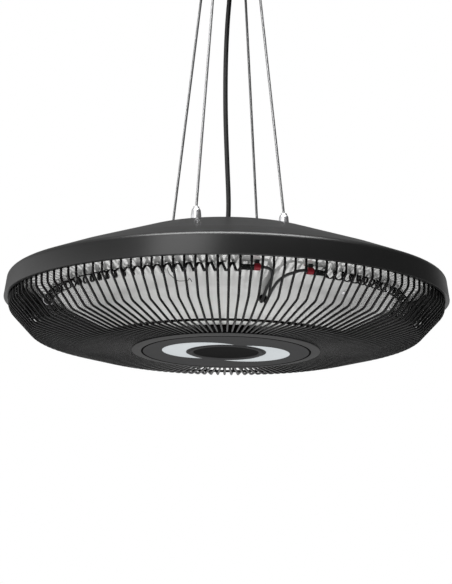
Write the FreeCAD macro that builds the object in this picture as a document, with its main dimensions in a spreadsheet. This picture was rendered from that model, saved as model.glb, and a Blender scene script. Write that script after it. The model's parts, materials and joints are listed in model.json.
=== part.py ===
"""Hanging patio heater: ceiling canopy, four steel ropes, dome, wire guard and ring-shaped quartz element.

Millimetres, +Z up. The origin is the centre of the ceiling plate's top face. The heater's own pieces
are drawn with z = 0 on the plane of the dome's lower rim, and hang hang_drop below the ceiling.
"""
import FreeCAD, Part
import math
import os
import re

import Sketcher
from FreeCAD import Vector

# Driving dimensions: name, value, meaning
SIZES = (
    ("hang_drop", 475, "ceiling face to the rim plane"),
    ("seat_gap", 0.3, "clearance of loose fits"),
    ("facet_count", 8, "sides of the small round pieces and cords"),
    ("ceiling_plate_side", 116, "ceiling plate"),
    ("ceiling_plate_thickness", 3, "ceiling plate"),
    ("ceiling_hole_circle", 132, "pitch circle diameter of the ceiling screws"),
    ("ceiling_hole_radius", 2.6, "ceiling screw hole"),
    ("ceiling_hole_count", 4, "ceiling screws"),
    ("ceiling_hole_angle", 45, "bearing of the first ceiling screw"),
    ("cup_radius", 56, "canopy cup"),
    ("cup_depth", 25, "canopy cup"),
    ("cup_wall", 1.5, "canopy cup"),
    ("rope_radius", 1.6, "steel rope"),
    ("rope_count", 4, "steel ropes"),
    ("rope_angle", -29, "bearing of the first rope"),
    ("anchor_circle_radius", 44, "ropes at the canopy"),
    ("grip_circle_radius", 86.5, "rope grips"),
    ("rope_offset", 1.3, "foot of a leaning rope outside its grip's axis"),
    ("ferrule_radius", 3.5, "crimped rope end"),
    ("ferrule_length", 12, "crimped rope end"),
    ("cord_radius", 3, "mains cord"),
    ("bush_wall", 2, "cord bush in the cup"),
    ("bush_flange", 2, "cord bush in the cup"),
    ("block_length", 30, "canopy terminal block"),
    ("block_width", 16, "canopy terminal block"),
    ("block_height", 15, "canopy terminal block"),
    ("rim_radius", 301, "dome at its lower edge"),
    ("band_lean", 8.7, "lean of the dome's band from upright, degrees"),
    ("shoulder_height", 31.8, "top of the band"),
    ("crown_height", 91, "flat top of the dome"),
    ("crown_radius", 121.2, "flat top of the dome"),
    ("housing_wall", 1.5, "dome sheet"),
    ("shoulder_round", 10, "easing between band and dome"),
    ("lip_width", 6, "inward lip of the rim"),
    ("chassis_radius", 97, "stiffening plate under the flat top, to its sides"),
    ("chassis_thickness", 3, "stiffening plate"),
    ("grip_radius", 7, "rope grip body"),
    ("grip_height", 20.5, "rope grip body"),
    ("grip_nose", 7, "tapered upper end of a grip body"),
    ("grip_draft", 11, "lean of that end from upright, degrees"),
    ("grip_bore_radius", 4.5, "socket for the release collar"),
    ("grip_bore_depth", 9, "socket for the release collar"),
    ("stud_radius", 4, "threaded stud of a grip"),
    ("stud_tail", 2, "stud below its nut"),
    ("collar_bore_radius", 3.2, "release collar"),
    ("collar_length", 8, "release collar"),
    ("collar_lift", 2.8, "collar above the grip body"),
    ("nut_flats", 13, "grip nut across flats"),
    ("nut_height", 4, "grip nut"),
    ("gland_radius", 10, "cord gland"),
    ("gland_height", 24, "cord gland"),
    ("gland_base_height", 7, "lower collar of the gland"),
    ("gland_cap_radius", 9, "cap of the gland"),
    ("gland_cap_height", 8, "cap of the gland"),
    ("gland_nose_radius", 5.5, "upper end of the gland"),
    ("gland_stud_radius", 6, "cord gland stud"),
    ("gland_nut_flats", 18, "gland nut across flats"),
    ("box_length", 110, "control box"),
    ("box_width", 70, "control box"),
    ("box_height", 34, "control box"),
    ("box_wall", 2, "control box"),
    ("board_thickness", 1.6, "circuit boards"),
    ("board_lift", 8, "control board above the box floor"),
    ("board_inset", 1, "control board inside the box walls"),
    ("pillar_side", 6, "pillars under the control board"),
    ("pillar_inset", 10, "pillars from the box's outer faces"),
    ("relay_length", 30, "power relay"),
    ("relay_width", 25, "power relay"),
    ("relay_height", 15, "power relay"),
    ("relay_across", -27.5, "power relay from the box's middle"),
    ("relay_up", -11.7, "power relay from the box's middle"),
    ("inlet_length", 34, "mains terminals on the control board"),
    ("inlet_width", 14, "mains terminals on the control board"),
    ("inlet_height", 11, "mains terminals on the control board"),
    ("inlet_across", -27.5, "mains terminals from the box's middle"),
    ("inlet_up", 17.5, "mains terminals from the box's middle"),
    ("driver_length", 26, "lamp driver"),
    ("driver_width", 36, "lamp driver"),
    ("driver_height", 13, "lamp driver"),
    ("driver_across", 27.5, "lamp driver from the box's middle"),
    ("cone_foot_radius", 121, "reflector cone at its foot"),
    ("cone_foot_drop", 54, "reflector foot below the rim plane"),
    ("cone_slope", 26.6, "reflector cone, degrees"),
    ("cone_inset", 22, "reflector's top edge inside the rim"),
    ("reflector_wall", 1, "reflector sheet"),
    ("foot_bore_radius", 80, "opening in the reflector's foot"),
    ("post_radius", 203, "reflector posts and screws, from the axis"),
    ("post_depth", 12, "reflector post, radially"),
    ("post_sweep", 3.4, "reflector post, degrees round the axis"),
    ("post_count", 3, "reflector posts"),
    ("post_angle", -41, "bearing of the first reflector post"),
    ("screw_head_radius", 3.2, "reflector screw"),
    ("screw_head_height", 1.8, "reflector screw"),
    ("drum_radius", 120, "lamp drum"),
    ("drum_wall", 1.5, "lamp drum"),
    ("wiring_hole_radius", 10, "wiring hole in the drum's top"),
    ("drum_height", 12.5, "lamp drum"),
    ("boss_side", 8, "screw bosses in the drum"),
    ("boss_circle_radius", 104, "screw bosses in the drum"),
    ("boss_count", 4, "screw bosses in the drum"),
    ("boss_angle", 45, "bearing of the first screw boss"),
    ("trim_radius", 127, "trim ring round the cover"),
    ("trim_inner_radius", 114.4, "trim ring round the cover"),
    ("trim_thickness", 2.1, "trim ring at its inner edge"),
    ("trim_edge", 0.8, "trim ring at its outer edge"),
    ("cover_gap", 1, "groove between the cover and its trim ring"),
    ("bezel_radius", 51, "raised ring round the sensor"),
    ("bezel_inner_radius", 44, "raised ring round the sensor"),
    ("bezel_height", 2, "raised ring round the sensor"),
    ("bezel_bevel", 1.5, "raised ring round the sensor"),
    ("sensor_radius", 47, "sensor window"),
    ("window_inner_radius", 54, "inner edge of a light crescent"),
    ("window_outer_radius", 58, "outer edge of a light crescent"),
    ("window_offset", 30, "centre of the crescent's outer edge"),
    ("window_angle", 20, "bearing of the first crescent"),
    ("lamp_board_width", 26, "lamp board"),
    ("lamp_board_length", 84, "lamp board"),
    ("led_row_radius", 71, "row of lamps from the axis"),
    ("led_count", 8, "lamps on one lamp board"),
    ("led_side", 4, "one lamp"),
    ("led_height", 1, "one lamp"),
    ("receiver_side", 9, "signal receiver on the sensor window"),
    ("receiver_height", 6, "signal receiver on the sensor window"),
    ("spoke_count", 130, "guard wires"),
    ("spoke_width", 3, "guard wire"),
    ("spoke_inset", 8, "guard wires inside the rim"),
    ("spoke_bearing", -89.5, "bearing of the wire nearest the viewer"),
    ("bend_drop", 12.9, "first bend below the rim plane"),
    ("knee_inset", 36.4, "second bend inside the first"),
    ("knee_drop", 50.6, "second bend below the rim plane"),
    ("rim_ring_inset", 4, "guard's rim ring inside the wires"),
    ("rim_ring_thickness", 2, "guard's rim ring"),
    ("rim_ring_sides", 26, "straight bars of the guard's rim ring"),
    ("hoop_radius", 195, "stiffening hoop, and the wires' third bend under it"),
    ("hoop_drop", 64.2, "third bend below the rim plane"),
    ("hoop_width", 2.4, "stiffening hoop"),
    ("tube_ring_radius", 240, "quartz tube's ring"),
    ("tube_hang", 9.3, "quartz tube's centre below the reflector"),
    ("tube_radius", 6.8, "quartz tube"),
    ("tube_wall", 1, "quartz tube"),
    ("tube_sides", 6, "facets of the tube's section"),
    ("tube_start", -62.8, "bearing of the tube's first end"),
    ("tube_sweep", 341, "arc of the tube, degrees"),
    ("seal_sweep", 2, "end seal, degrees"),
    ("seal_radius", 4.9, "end seal"),
    ("bracket_depth", 5.6, "bracket above an end seal, radially"),
    ("bracket_sweep", 1.3, "bracket above an end seal, degrees round the axis"),
    ("coil_radius", 4.7, "heating coil, to the middle of its wire"),
    ("coil_wire", 1.6, "heating coil's wire"),
    ("coil_turns", 96, "heating coil"),
    ("coil_sides", 5, "straight runs in one turn of the coil"),
    ("coil_tail", 4, "straight tail of the coil at each end, degrees"),
    ("clip_count", 5, "tube clips"),
    ("clip_angle", -102.7, "bearing of the first tube clip"),
    ("clip_sweep", 1.2, "tube clip, degrees round the axis"),
    ("clip_strip", 0.8, "tube clip strip"),
    ("grommet_radius", 6, "lead grommet flange"),
    ("grommet_height", 3, "lead grommet below the reflector"),
    ("grommet_circle_radius", 174, "lead grommet from the axis"),
    ("grommet_angle", -74.7, "bearing of the lead grommet"),
    ("lead_radius", 2, "sleeved lead"),
    ("lead_sides", 4, "facets of a lead"),
    ("lead_stand", 8, "straight ends of a lead"),
    ("lead_spread", 2.6, "leads beside the grommet's axis"),
    ("bend_share", 0.45, "share of the shorter run that a cord's bend takes"),
)

# Sizes that follow from the driving ones
DERIVED = (
    ("dome_slope", "atan((crown_height - shoulder_height)"
     " / (rim_radius - shoulder_height * tan(band_lean) - crown_radius)) / 1 deg",
     "dome above the band, degrees"),
    ("cone_top_radius", "rim_radius - cone_inset", "reflector cone at its top"),
    ("spoke_circle_radius", "rim_radius - spoke_inset", "guard wires at the rim"),
    ("knee_radius", "rim_radius - spoke_inset - knee_inset", "second bend of a guard wire"),
    ("tube_drop", "cone_foot_drop - (tube_ring_radius - cone_foot_radius) * tan(cone_slope) + tube_hang",
     "quartz tube's centre below the rim plane"),
)

doc = FreeCAD.newDocument("patio_heater")
sheet = doc.addObject("Spreadsheet::Sheet", "Dims")
ALIASES = {alias for alias, _, _ in SIZES + DERIVED}
for row, (alias, number, meaning) in enumerate(SIZES + DERIVED, 1):
    sheet.set(f"A{row}", meaning)
    sheet.set(f"B{row}", f"={number}")
    sheet.setAlias(f"B{row}", alias)
    doc.recompute()

NODES = {}


def bound(text):
    """An expression with each size's name led by the sheet's name."""
    return re.sub(r"[a-z][a-z_]*", lambda m: f"Dims.{m[0]}" if m[0] in ALIASES else m[0], text)


def value(text):
    """The number that an expression of sizes gives now."""
    return float(sheet.evalExpression(text))


def node(obj):
    """Keep an object as one of the part's nodes, under its label."""
    NODES[obj.Label] = obj
    return obj


def place(obj, drop="hang_drop", turn=None):
    """Hang an object below the ceiling and turn it about the heater's axis."""
    obj.setExpression("Placement.Base.z", bound(f"-({drop})"))
    if turn:
        obj.setExpression("Placement.Rotation.Angle", bound(turn))
    return obj


def origin_feature(body, role):
    """One of a body's own origin planes or axes."""
    return next(f for f in body.Origin.OriginFeatures if f.Role == role)


def new_sketch(body, role, height="0"):
    """An empty sketch on one of the body's origin planes, raised by height."""
    sketch = body.newObject("Sketcher::SketchObject", f"{body.Name}_outline")
    sketch.AttachmentSupport = [(origin_feature(body, role), "")]
    sketch.MapMode = "FlatFace"
    if height != "0":
        sketch.setExpression("AttachmentOffset.Base.z", bound(height))
    return sketch


def tie(shape, end, across, up):
    """Constraints that put one point of a sketch at two expressions, each with its expression."""
    ties = []
    for kind, axis, text in (("DistanceX", -2, across), ("DistanceY", -1, up)):
        if text == "0":
            ties.append((Sketcher.Constraint("PointOnObject", shape, end, axis), None))
        else:
            ties.append((Sketcher.Constraint(kind, -1, 1, shape, end, value(text)), text))
    return ties


def constrain(sketch, ties):
    """Add constraints to a sketch in one go and bind their values."""
    indices = sketch.addConstraint([constraint for constraint, _ in ties])
    for index, (_, text) in zip(indices, ties):
        if text:
            sketch.setExpression(f"Constraints[{index}]", bound(text))


def draw_polygon(sketch, points):
    """A closed outline through points given as pairs of expressions."""
    corners = [Vector(value(across), value(up), 0) for across, up in points]
    count = len(corners)
    first = sketch.GeometryCount
    sketch.addGeometry([Part.LineSegment(a, b) for a, b in zip(corners, corners[1:] + corners[:1])], False)
    ties = []
    for index, (across, up) in enumerate(points):
        following = first + (index + 1) % count
        ties.append((Sketcher.Constraint("Coincident", first + index, 2, following, 1), None))
        ties += tie(first + index, 1, across, up)
    constrain(sketch, ties)


def draw_circle(sketch, across, up, radius):
    """A circle with its centre and radius tied to expressions."""
    middle = Vector(value(across), value(up), 0)
    shape = sketch.addGeometry(Part.Circle(middle, Vector(0, 0, 1), value(radius)), False)
    size = (Sketcher.Constraint("Radius", shape, value(radius)), radius)
    constrain(sketch, tie(shape, 3, across, up) + [size])


def new_body(label):
    """An empty body whose label names its node."""
    return doc.addObject("PartDesign::Body", label)


def repeat(body, feature, count):
    """Copies of a feature, evenly round the body's Z axis."""
    pattern = body.newObject("PartDesign::PolarPattern", f"{body.Name}_copies")
    pattern.Originals = feature if isinstance(feature, list) else [feature]
    pattern.Axis = (origin_feature(body, "Z_Axis"), [""])
    pattern.Angle = 360
    pattern.setExpression("Occurrences", bound(count))
    body.Tip = pattern
    return pattern


def turned(label, points, sweep=None, count=None):
    """A body turned from an outline of radius and height.

    A sweep in degrees makes a sector, centred on the X direction, and count repeats it round the axis.
    """
    body = new_body(label)
    sketch = new_sketch(body, "XZ_Plane")
    draw_polygon(sketch, points)
    turn = body.newObject("PartDesign::Revolution", f"{label}_turn")
    turn.Profile = sketch
    turn.ReferenceAxis = (sketch, ["V_Axis"])
    turn.Angle = 360
    if sweep:
        turn.Midplane = True
        turn.setExpression("Angle", bound(sweep))
    doc.recompute()
    if count:
        repeat(body, turn, count)
    return body


def raised(body, draw, height, base="0", role="XY_Plane"):
    """Pad an outline, drawn by a function on a sketch, from a base height upwards."""
    sketch = new_sketch(body, role, base)
    draw(sketch)
    pad = body.newObject("PartDesign::Pad", f"{body.Name}_pad")
    pad.Profile = sketch
    pad.setExpression("Length", bound(height))
    doc.recompute()
    return pad


def pierced(body, draw):
    """Cut an outline, drawn by a function on a sketch, right through a body along Z."""
    before = body.Shape.Volume
    sketch = new_sketch(body, "XY_Plane")
    draw(sketch)
    pocket = body.newObject("PartDesign::Pocket", f"{body.Name}_cut")
    pocket.Profile = sketch
    pocket.Type = "ThroughAll"
    pocket.SideType = "Symmetric"
    doc.recompute()
    if body.Shape.Volume >= before:
        raise RuntimeError(f"{body.Label}: a cut took nothing away")
    return pocket


def sunk(body, draw, depth, top):
    """Cut an outline, drawn by a function on a sketch, down from a top height."""
    sketch = new_sketch(body, "XY_Plane", top)
    draw(sketch)
    pocket = body.newObject("PartDesign::Pocket", f"{body.Name}_recess")
    pocket.Profile = sketch
    pocket.setExpression("Length", bound(depth))
    doc.recompute()
    return pocket


def circle_row(radius, distance, count, angle="0"):
    """A drawing function for equal circles on a pitch circle."""
    def draw(sketch):
        for index in range(int(value(count))):
            bearing = f"({angle} + {index} * 360 / {count})"
            draw_circle(sketch, f"{distance} * cos({bearing})", f"{distance} * sin({bearing})", radius)
    return draw


def rectangle(length, width, across="0", up="0"):
    """A drawing function for a rectangle centred on a point."""
    def draw(sketch):
        signs = ((-1, -1), (1, -1), (1, 1), (-1, 1))
        corners = [(f"{across} + {i} * ({length}) / 2", f"{up} + {j} * ({width}) / 2") for i, j in signs]
        draw_polygon(sketch, corners)
    return draw


def facets(radius, across="0", sides=None):
    """A drawing function for a regular polygon, sized by the distance to its sides."""
    def draw(sketch):
        count = sides or int(value("facet_count"))
        reach = f"({radius}) / cos(180 / {count})"
        bearings = [f"({index} + 0.5) * 360 / {count}" for index in range(count)]
        draw_polygon(sketch, [(f"{across} + {reach} * cos({b})", f"{reach} * sin({b})") for b in bearings])
    return draw


# Surfaces that several pieces share, as expressions of the distance from the axis
def dome_outer(radius):
    """Height of the dome's outer face."""
    inward = f"rim_radius - shoulder_height * tan(band_lean) - ({radius})"
    return f"(shoulder_height + ({inward}) * tan(dome_slope))"


def dome_inner(radius):
    """Height of the dome's inner face."""
    return f"({dome_outer(radius)} - housing_wall / cos(dome_slope))"


def cone_under(radius):
    """Height of the reflector cone's lower face."""
    return f"((({radius}) - cone_foot_radius) * tan(cone_slope) - cone_foot_drop)"


def cone_upper(radius):
    """Height of the reflector cone's upper face."""
    return f"({cone_under(radius)} + reflector_wall / cos(cone_slope))"


def on_cone(radius, along, out):
    """A point beside the cone's lower face: along the slope and out from it."""
    across = f"({radius}) + ({along}) * cos(cone_slope) + ({out}) * sin(cone_slope)"
    up = f"{cone_under(radius)} + ({along}) * sin(cone_slope) - ({out}) * cos(cone_slope)"
    return across, up


def sketch_on_cone(body, radius):
    """An empty sketch that touches the cone's lower face, facing away from it."""
    sketch = new_sketch(body, "XY_Plane")
    sketch.AttachmentOffset = FreeCAD.Placement(Vector(), FreeCAD.Rotation(Vector(0, 1, 0), 1))
    sketch.setExpression("AttachmentOffset.Base.x", bound(radius))
    sketch.setExpression("AttachmentOffset.Base.z", bound(cone_under(radius)))
    sketch.setExpression("AttachmentOffset.Rotation.Angle", bound("180 - cone_slope"))
    return sketch


def pad_on_cone(body, radius, draw, height):
    """Pad an outline away from the cone's lower face."""
    sketch = sketch_on_cone(body, radius)
    draw(sketch)
    pad = body.newObject("PartDesign::Pad", f"{body.Name}_pad")
    pad.Profile = sketch
    pad.setExpression("Length", bound(height))
    doc.recompute()
    return pad


CHASSIS_UNDER = "(crown_height - housing_wall - chassis_thickness)"
BOX_FLOOR = f"({CHASSIS_UNDER} - box_height + box_wall)"
BOARD_TOP = f"({BOX_FLOOR} + board_lift + board_thickness)"
TRIM_TOP = "(-cone_foot_drop - drum_height)"
COVER_UNDER = f"({TRIM_TOP} - trim_thickness)"
COLLAR_TOP = "(crown_height + grip_height + collar_lift)"
ROPE_FOOT = "(crown_height + grip_height - grip_bore_depth)"
ROPE_TOP = "(hang_drop - ceiling_plate_thickness - cup_depth + cup_wall)"
SPOKE_FOOT = f"({TRIM_TOP} + spoke_width / 2)"
SPOKE_FALL = f"((-hoop_drop - {SPOKE_FOOT}) / (hoop_radius - drum_radius))"
SPOKE_RISE = "((hoop_drop - knee_drop) / (knee_radius - hoop_radius))"


# Ceiling canopy
def ceiling_plate():
    """Square screw-on plate that carries everything."""
    body = new_body("ceiling_plate")
    raised(body, rectangle("ceiling_plate_side", "ceiling_plate_side"), "ceiling_plate_thickness")
    pierced(body, circle_row("ceiling_hole_radius", "ceiling_hole_circle / 2", "ceiling_hole_count",
                             "ceiling_hole_angle"))
    node(place(body, "ceiling_plate_thickness"))


def canopy_cup():
    """Round cup under the plate, open upwards, with holes for the ropes and the cord."""
    body = turned("canopy_cup", [
        ("0", "0"), ("cup_radius", "0"), ("cup_radius", "cup_depth"), ("cup_radius - cup_wall", "cup_depth"),
        ("cup_radius - cup_wall", "cup_wall"), ("0", "cup_wall")])
    pierced(body, facets("cord_radius + bush_wall"))
    first = pierced(body, facets("rope_radius + 2 * seat_gap", "anchor_circle_radius"))
    repeat(body, first, "rope_count")
    node(place(body, "ceiling_plate_thickness + cup_depth", "rope_angle"))


def rope_ferrules():
    """Crimped ends of the ropes, standing on the cup's floor."""
    body = new_body("rope_ferrules")
    first = raised(body, facets("ferrule_radius", "anchor_circle_radius"), "ferrule_length")
    repeat(body, first, "rope_count")
    node(place(body, f"hang_drop - {ROPE_TOP}", "rope_angle"))


def cord_bush():
    """Bush in the cup's floor that the cord passes through."""
    body = new_body("cord_bush")

    def flange(sketch):
        facets("cord_radius + 2 * bush_wall")(sketch)
        facets("cord_radius + 2 * seat_gap")(sketch)

    def neck(sketch):
        facets("cord_radius + bush_wall")(sketch)
        facets("cord_radius + 2 * seat_gap")(sketch)
    raised(body, flange, "bush_flange", "-bush_flange")
    raised(body, neck, "cup_wall")
    node(place(body, "ceiling_plate_thickness + cup_depth", "rope_angle"))


def canopy_terminals():
    """Terminal block on the ceiling plate, where the cord ends."""
    body = new_body("canopy_terminals")
    raised(body, rectangle("block_length", "block_width"), "block_height")
    node(place(body, "ceiling_plate_thickness + block_height"))


def steel_ropes():
    """Four ropes, each leaning inwards from its grip to the canopy."""
    foot = "grip_circle_radius + rope_offset"
    lean = f"anchor_circle_radius - ({foot})"
    height = f"({ROPE_TOP} - {ROPE_FOOT})"
    for index in range(int(value("rope_count"))):
        body = new_body(f"steel_rope_{index + 1}")
        pad = raised(body, facets("rope_radius", foot), height, ROPE_FOOT)
        pad.UseCustomVector = True
        pad.AlongSketchNormal = True
        pad.Direction = Vector(value(lean), 0, value(height))
        pad.setExpression("Direction.x", bound(lean))
        pad.setExpression("Direction.z", bound(height))
        node(place(body, turn=f"rope_angle + {index} * 360 / rope_count"))


# Dome and what hangs from its flat top
def top_housing():
    """Spun dome with a leaning band, an eased shoulder, a flat top and an inward lip, open below."""
    upright = "(90 - band_lean)"
    eased = "((90 - band_lean + dome_slope) / 2)"
    cut = "shoulder_round * tan((90 - band_lean - dome_slope) / 2)"
    corner = "(rim_radius - shoulder_height * tan(band_lean))"
    band_top = (f"({corner} + {cut} * sin(band_lean))", f"(shoulder_height - {cut} * cos(band_lean))")
    dome_foot = (f"({corner} - {cut} * cos(dome_slope))", f"(shoulder_height + {cut} * sin(dome_slope))")
    crown = (f"({corner} - (crown_height - shoulder_height) / tan(dome_slope))", "crown_height")

    def inside(point, steep, gentle):
        """The inner corner behind an outer one, between faces of two slopes."""
        reach = f"housing_wall / cos((({steep}) - ({gentle})) / 2)"
        slope = f"((({steep}) + ({gentle})) / 2)"
        return (f"{point[0]} - {reach} * sin({slope})", f"{point[1]} - {reach} * cos({slope})")
    bore = "(gland_stud_radius / cos(180 / facet_count) + seat_gap)"
    lip = "rim_radius - lip_width"
    band_foot = "rim_radius - housing_wall / cos(band_lean) - housing_wall * tan(band_lean)"
    body = turned("top_housing", [
        (lip, "0"), ("rim_radius", "0"), band_top, dome_foot, crown, (bore, "crown_height"),
        (bore, "crown_height - housing_wall"), inside(crown, "dome_slope", "0"),
        inside(dome_foot, eased, "dome_slope"), inside(band_top, upright, eased),
        (band_foot, "housing_wall"), (lip, "housing_wall")])
    first = pierced(body, facets("stud_radius + seat_gap", "grip_circle_radius"))
    repeat(body, first, "rope_count")
    node(place(body, turn="rope_angle"))


def chassis_plate():
    """Eight-sided plate under the flat top that spreads the pull of the grips."""
    body = new_body("chassis_plate")
    raised(body, facets("chassis_radius"), "chassis_thickness", CHASSIS_UNDER)
    pierced(body, facets("gland_stud_radius + seat_gap"))
    first = pierced(body, facets("stud_radius + seat_gap", "grip_circle_radius"))
    repeat(body, first, "rope_count")
    node(place(body, turn="rope_angle"))


def grip_bodies():
    """Rope grips with a socket above and a stud below the dome's top."""
    body = new_body("grip_bodies")
    tail = f"({CHASSIS_UNDER} - nut_height - stud_tail)"
    stud = raised(body, facets("stud_radius", "grip_circle_radius"), f"crown_height - {tail}", tail)
    section = facets("grip_radius", "grip_circle_radius")
    barrel = raised(body, section, "grip_height - grip_nose", "crown_height")
    nose = raised(body, section, "grip_nose", "crown_height + grip_height - grip_nose")
    nose.setExpression("TaperAngle", f"-1 deg * {bound('grip_draft')}")
    doc.recompute()
    socket = sunk(body, facets("grip_bore_radius", "grip_circle_radius"), "grip_bore_depth",
                  "crown_height + grip_height")
    repeat(body, [stud, barrel, nose, socket], "rope_count")
    node(place(body, turn="rope_angle"))


def grip_collars():
    """Release collar of each grip, pressed down to free the rope."""
    def ring(sketch):
        facets("grip_bore_radius - seat_gap", "grip_circle_radius")(sketch)
        facets("collar_bore_radius", "grip_circle_radius")(sketch)
    for index in range(int(value("rope_count"))):
        body = new_body(f"grip_collar_{index + 1}")
        raised(body, ring, "collar_length", f"{COLLAR_TOP} - collar_length")
        node(place(body, turn=f"rope_angle + {index} * 360 / rope_count"))


def grip_nuts():
    """Hexagon nuts that pull the grips against the chassis plate."""
    body = new_body("grip_nuts")

    def draw(sketch):
        facets("nut_flats / 2", "grip_circle_radius", 6)(sketch)
        facets("stud_radius", "grip_circle_radius")(sketch)
    first = raised(body, draw, "nut_height", f"{CHASSIS_UNDER} - nut_height")
    repeat(body, first, "rope_count")
    node(place(body, turn="rope_angle"))


def cord_gland():
    """Stepped gland on the flat top, with its stud through the chassis plate."""
    tail = f"({CHASSIS_UNDER} - nut_height - stud_tail)"
    body = new_body("cord_gland")
    raised(body, facets("gland_stud_radius"), f"crown_height - {tail}", tail)
    raised(body, facets("gland_radius", sides=6), "gland_base_height", "crown_height")
    raised(body, facets("gland_cap_radius"), "gland_cap_height", "crown_height + gland_base_height")
    nose = "gland_height - gland_base_height - gland_cap_height"
    raised(body, facets("gland_nose_radius"), nose, f"crown_height + gland_height - ({nose})")
    node(place(body, turn="rope_angle"))


def gland_nut():
    """Hexagon nut of the cord gland."""
    body = new_body("gland_nut")

    def draw(sketch):
        facets("gland_nut_flats / 2", sides=6)(sketch)
        facets("gland_stud_radius")(sketch)
    raised(body, draw, "nut_height", f"{CHASSIS_UNDER} - nut_height")
    node(place(body, turn="rope_angle"))


def control_box():
    """Box under the chassis plate, open upwards, with pillars for the board."""
    body = new_body("control_box")
    raised(body, rectangle("box_length", "box_width"), "box_height", f"{BOX_FLOOR} - box_wall")
    sunk(body, rectangle("box_length - 2 * box_wall", "box_width - 2 * box_wall"),
         "box_height - box_wall", CHASSIS_UNDER)

    def pillars(sketch):
        for i, j in ((-1, -1), (1, -1), (1, 1), (-1, 1)):
            rectangle("pillar_side", "pillar_side", f"{i} * (box_length / 2 - pillar_inset)",
                      f"{j} * (box_width / 2 - pillar_inset)")(sketch)
    raised(body, pillars, "board_lift", BOX_FLOOR)
    node(place(body))


def boxed_parts():
    """Control board and the components that stand on it."""
    body = new_body("control_board")
    edge = "2 * (box_wall + board_inset)"
    raised(body, rectangle(f"box_length - {edge}", f"box_width - {edge}"), "board_thickness",
           f"{BOX_FLOOR} + board_lift")
    node(place(body))
    for label, part, up in (("power_relay", "relay", "relay_up"), ("mains_terminals", "inlet", "inlet_up"),
                            ("lamp_driver", "driver", "0")):
        body = new_body(label)
        raised(body, rectangle(f"{part}_length", f"{part}_width", f"{part}_across", up), f"{part}_height",
               BOARD_TOP)
        node(place(body))


# Reflector and heating element
def reflector():
    """Spun cone, narrow end down, with a foot flange."""
    inward = "reflector_wall * (1 / cos(cone_slope) - 1) / tan(cone_slope)"
    node(place(turned("reflector", [
        ("foot_bore_radius", "-cone_foot_drop"), ("cone_foot_radius", "-cone_foot_drop"),
        ("cone_top_radius", cone_under("cone_top_radius")),
        ("cone_top_radius", cone_upper("cone_top_radius")),
        (f"cone_foot_radius - {inward}", "reflector_wall - cone_foot_drop"),
        ("foot_bore_radius", "reflector_wall - cone_foot_drop")])))


def reflector_posts():
    """Blocks between the dome and the reflector, shaped to both."""
    near = "post_radius - post_depth / 2"
    far = "post_radius + post_depth / 2"
    body = turned("reflector_posts", [
        (near, cone_upper(near)), (far, cone_upper(far)), (far, dome_inner(far)), (near, dome_inner(near))],
        sweep="post_sweep", count="post_count")
    node(place(body, turn="post_angle"))


def reflector_screws():
    """Screw heads on the cone, one under each post."""
    body = new_body("reflector_screws")
    head = pad_on_cone(body, "post_radius", facets("screw_head_radius"), "screw_head_height")
    repeat(body, head, "post_count")
    node(place(body, turn="post_angle"))


def lead_grommet():
    """Bush on the reflector that the two leads go into."""
    body = new_body("lead_grommet")
    pad_on_cone(body, "grommet_circle_radius", facets("grommet_radius"), "grommet_height")
    node(place(body, turn="grommet_angle"))


def tube_section(radius):
    """Corners of the element's faceted section round its centre line."""
    reach = f"({radius}) / cos(180 / tube_sides)"
    sides = int(value("tube_sides"))
    return [(f"tube_ring_radius + {reach} * cos({index} * 360 / tube_sides)",
             f"{reach} * sin({index} * 360 / tube_sides) - tube_drop") for index in range(sides)]


def ring_sector(label, radii, sweep):
    """A stretch of the element's ring, with faceted outlines of the given radii."""
    body = new_body(label)
    sketch = new_sketch(body, "XZ_Plane")
    for radius in radii:
        draw_polygon(sketch, tube_section(radius))
    turn = body.newObject("PartDesign::Revolution", f"{label}_turn")
    turn.Profile = sketch
    turn.ReferenceAxis = (sketch, ["V_Axis"])
    turn.setExpression("Angle", bound(sweep))
    doc.recompute()
    return body


def quartz_tube():
    """Bent quartz tube, open at its two ends."""
    body = ring_sector("quartz_tube", ("tube_radius", "tube_radius - tube_wall"), "tube_sweep")
    node(place(body, turn="tube_start"))


def tube_seals():
    """Red seals that close the tube's two ends."""
    for label, start in (("right_seal", "tube_start - seal_sweep"), ("left_seal", "tube_start + tube_sweep")):
        node(place(ring_sector(label, ("seal_radius",), "seal_sweep"), turn=start))


def seal_brackets():
    """Brackets that hold the end seals to the reflector."""
    near = "tube_ring_radius - bracket_depth / 2"
    far = "tube_ring_radius + bracket_depth / 2"
    under = "seal_radius - tube_drop"
    for label, bearing in (("right_bracket", "tube_start - seal_sweep / 2"),
                           ("left_bracket", "tube_start + tube_sweep + seal_sweep / 2")):
        body = turned(label, [(near, under), (far, under), (far, cone_under(far)), (near, cone_under(near))],
                      sweep="bracket_sweep")
        node(place(body, turn=bearing))


def tube_clips():
    """Strip clips that hang the tube under the reflector."""
    inner = "(tube_radius + seat_gap) / cos(180 / tube_sides)"
    outer = "(tube_radius + seat_gap + clip_strip) / cos(180 / tube_sides)"
    steps = int(value("tube_sides")) // 2 + 1

    def hanger(radius):
        bearings = [f"(180 + {index} * 360 / tube_sides)" for index in range(steps)]
        bowl = [(f"tube_ring_radius + {radius} * cos({b})", f"{radius} * sin({b}) - tube_drop")
                for b in bearings]
        near = f"tube_ring_radius - {radius}"
        far = f"tube_ring_radius + {radius}"
        return [(near, cone_under(near))] + bowl + [(far, cone_under(far))]
    body = turned("tube_clips", hanger(outer) + hanger(inner)[::-1], sweep="clip_sweep", count="clip_count")
    node(place(body, turn="clip_angle"))


def ring_point(bearing, phase, reach):
    """A point beside the element's centre line, phase degrees round it."""
    radius = value("tube_ring_radius") + reach * math.cos(math.radians(phase))
    angle = math.radians(bearing)
    height = reach * math.sin(math.radians(phase)) - value("tube_drop")
    return Vector(radius * math.cos(angle), radius * math.sin(angle), height)


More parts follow.
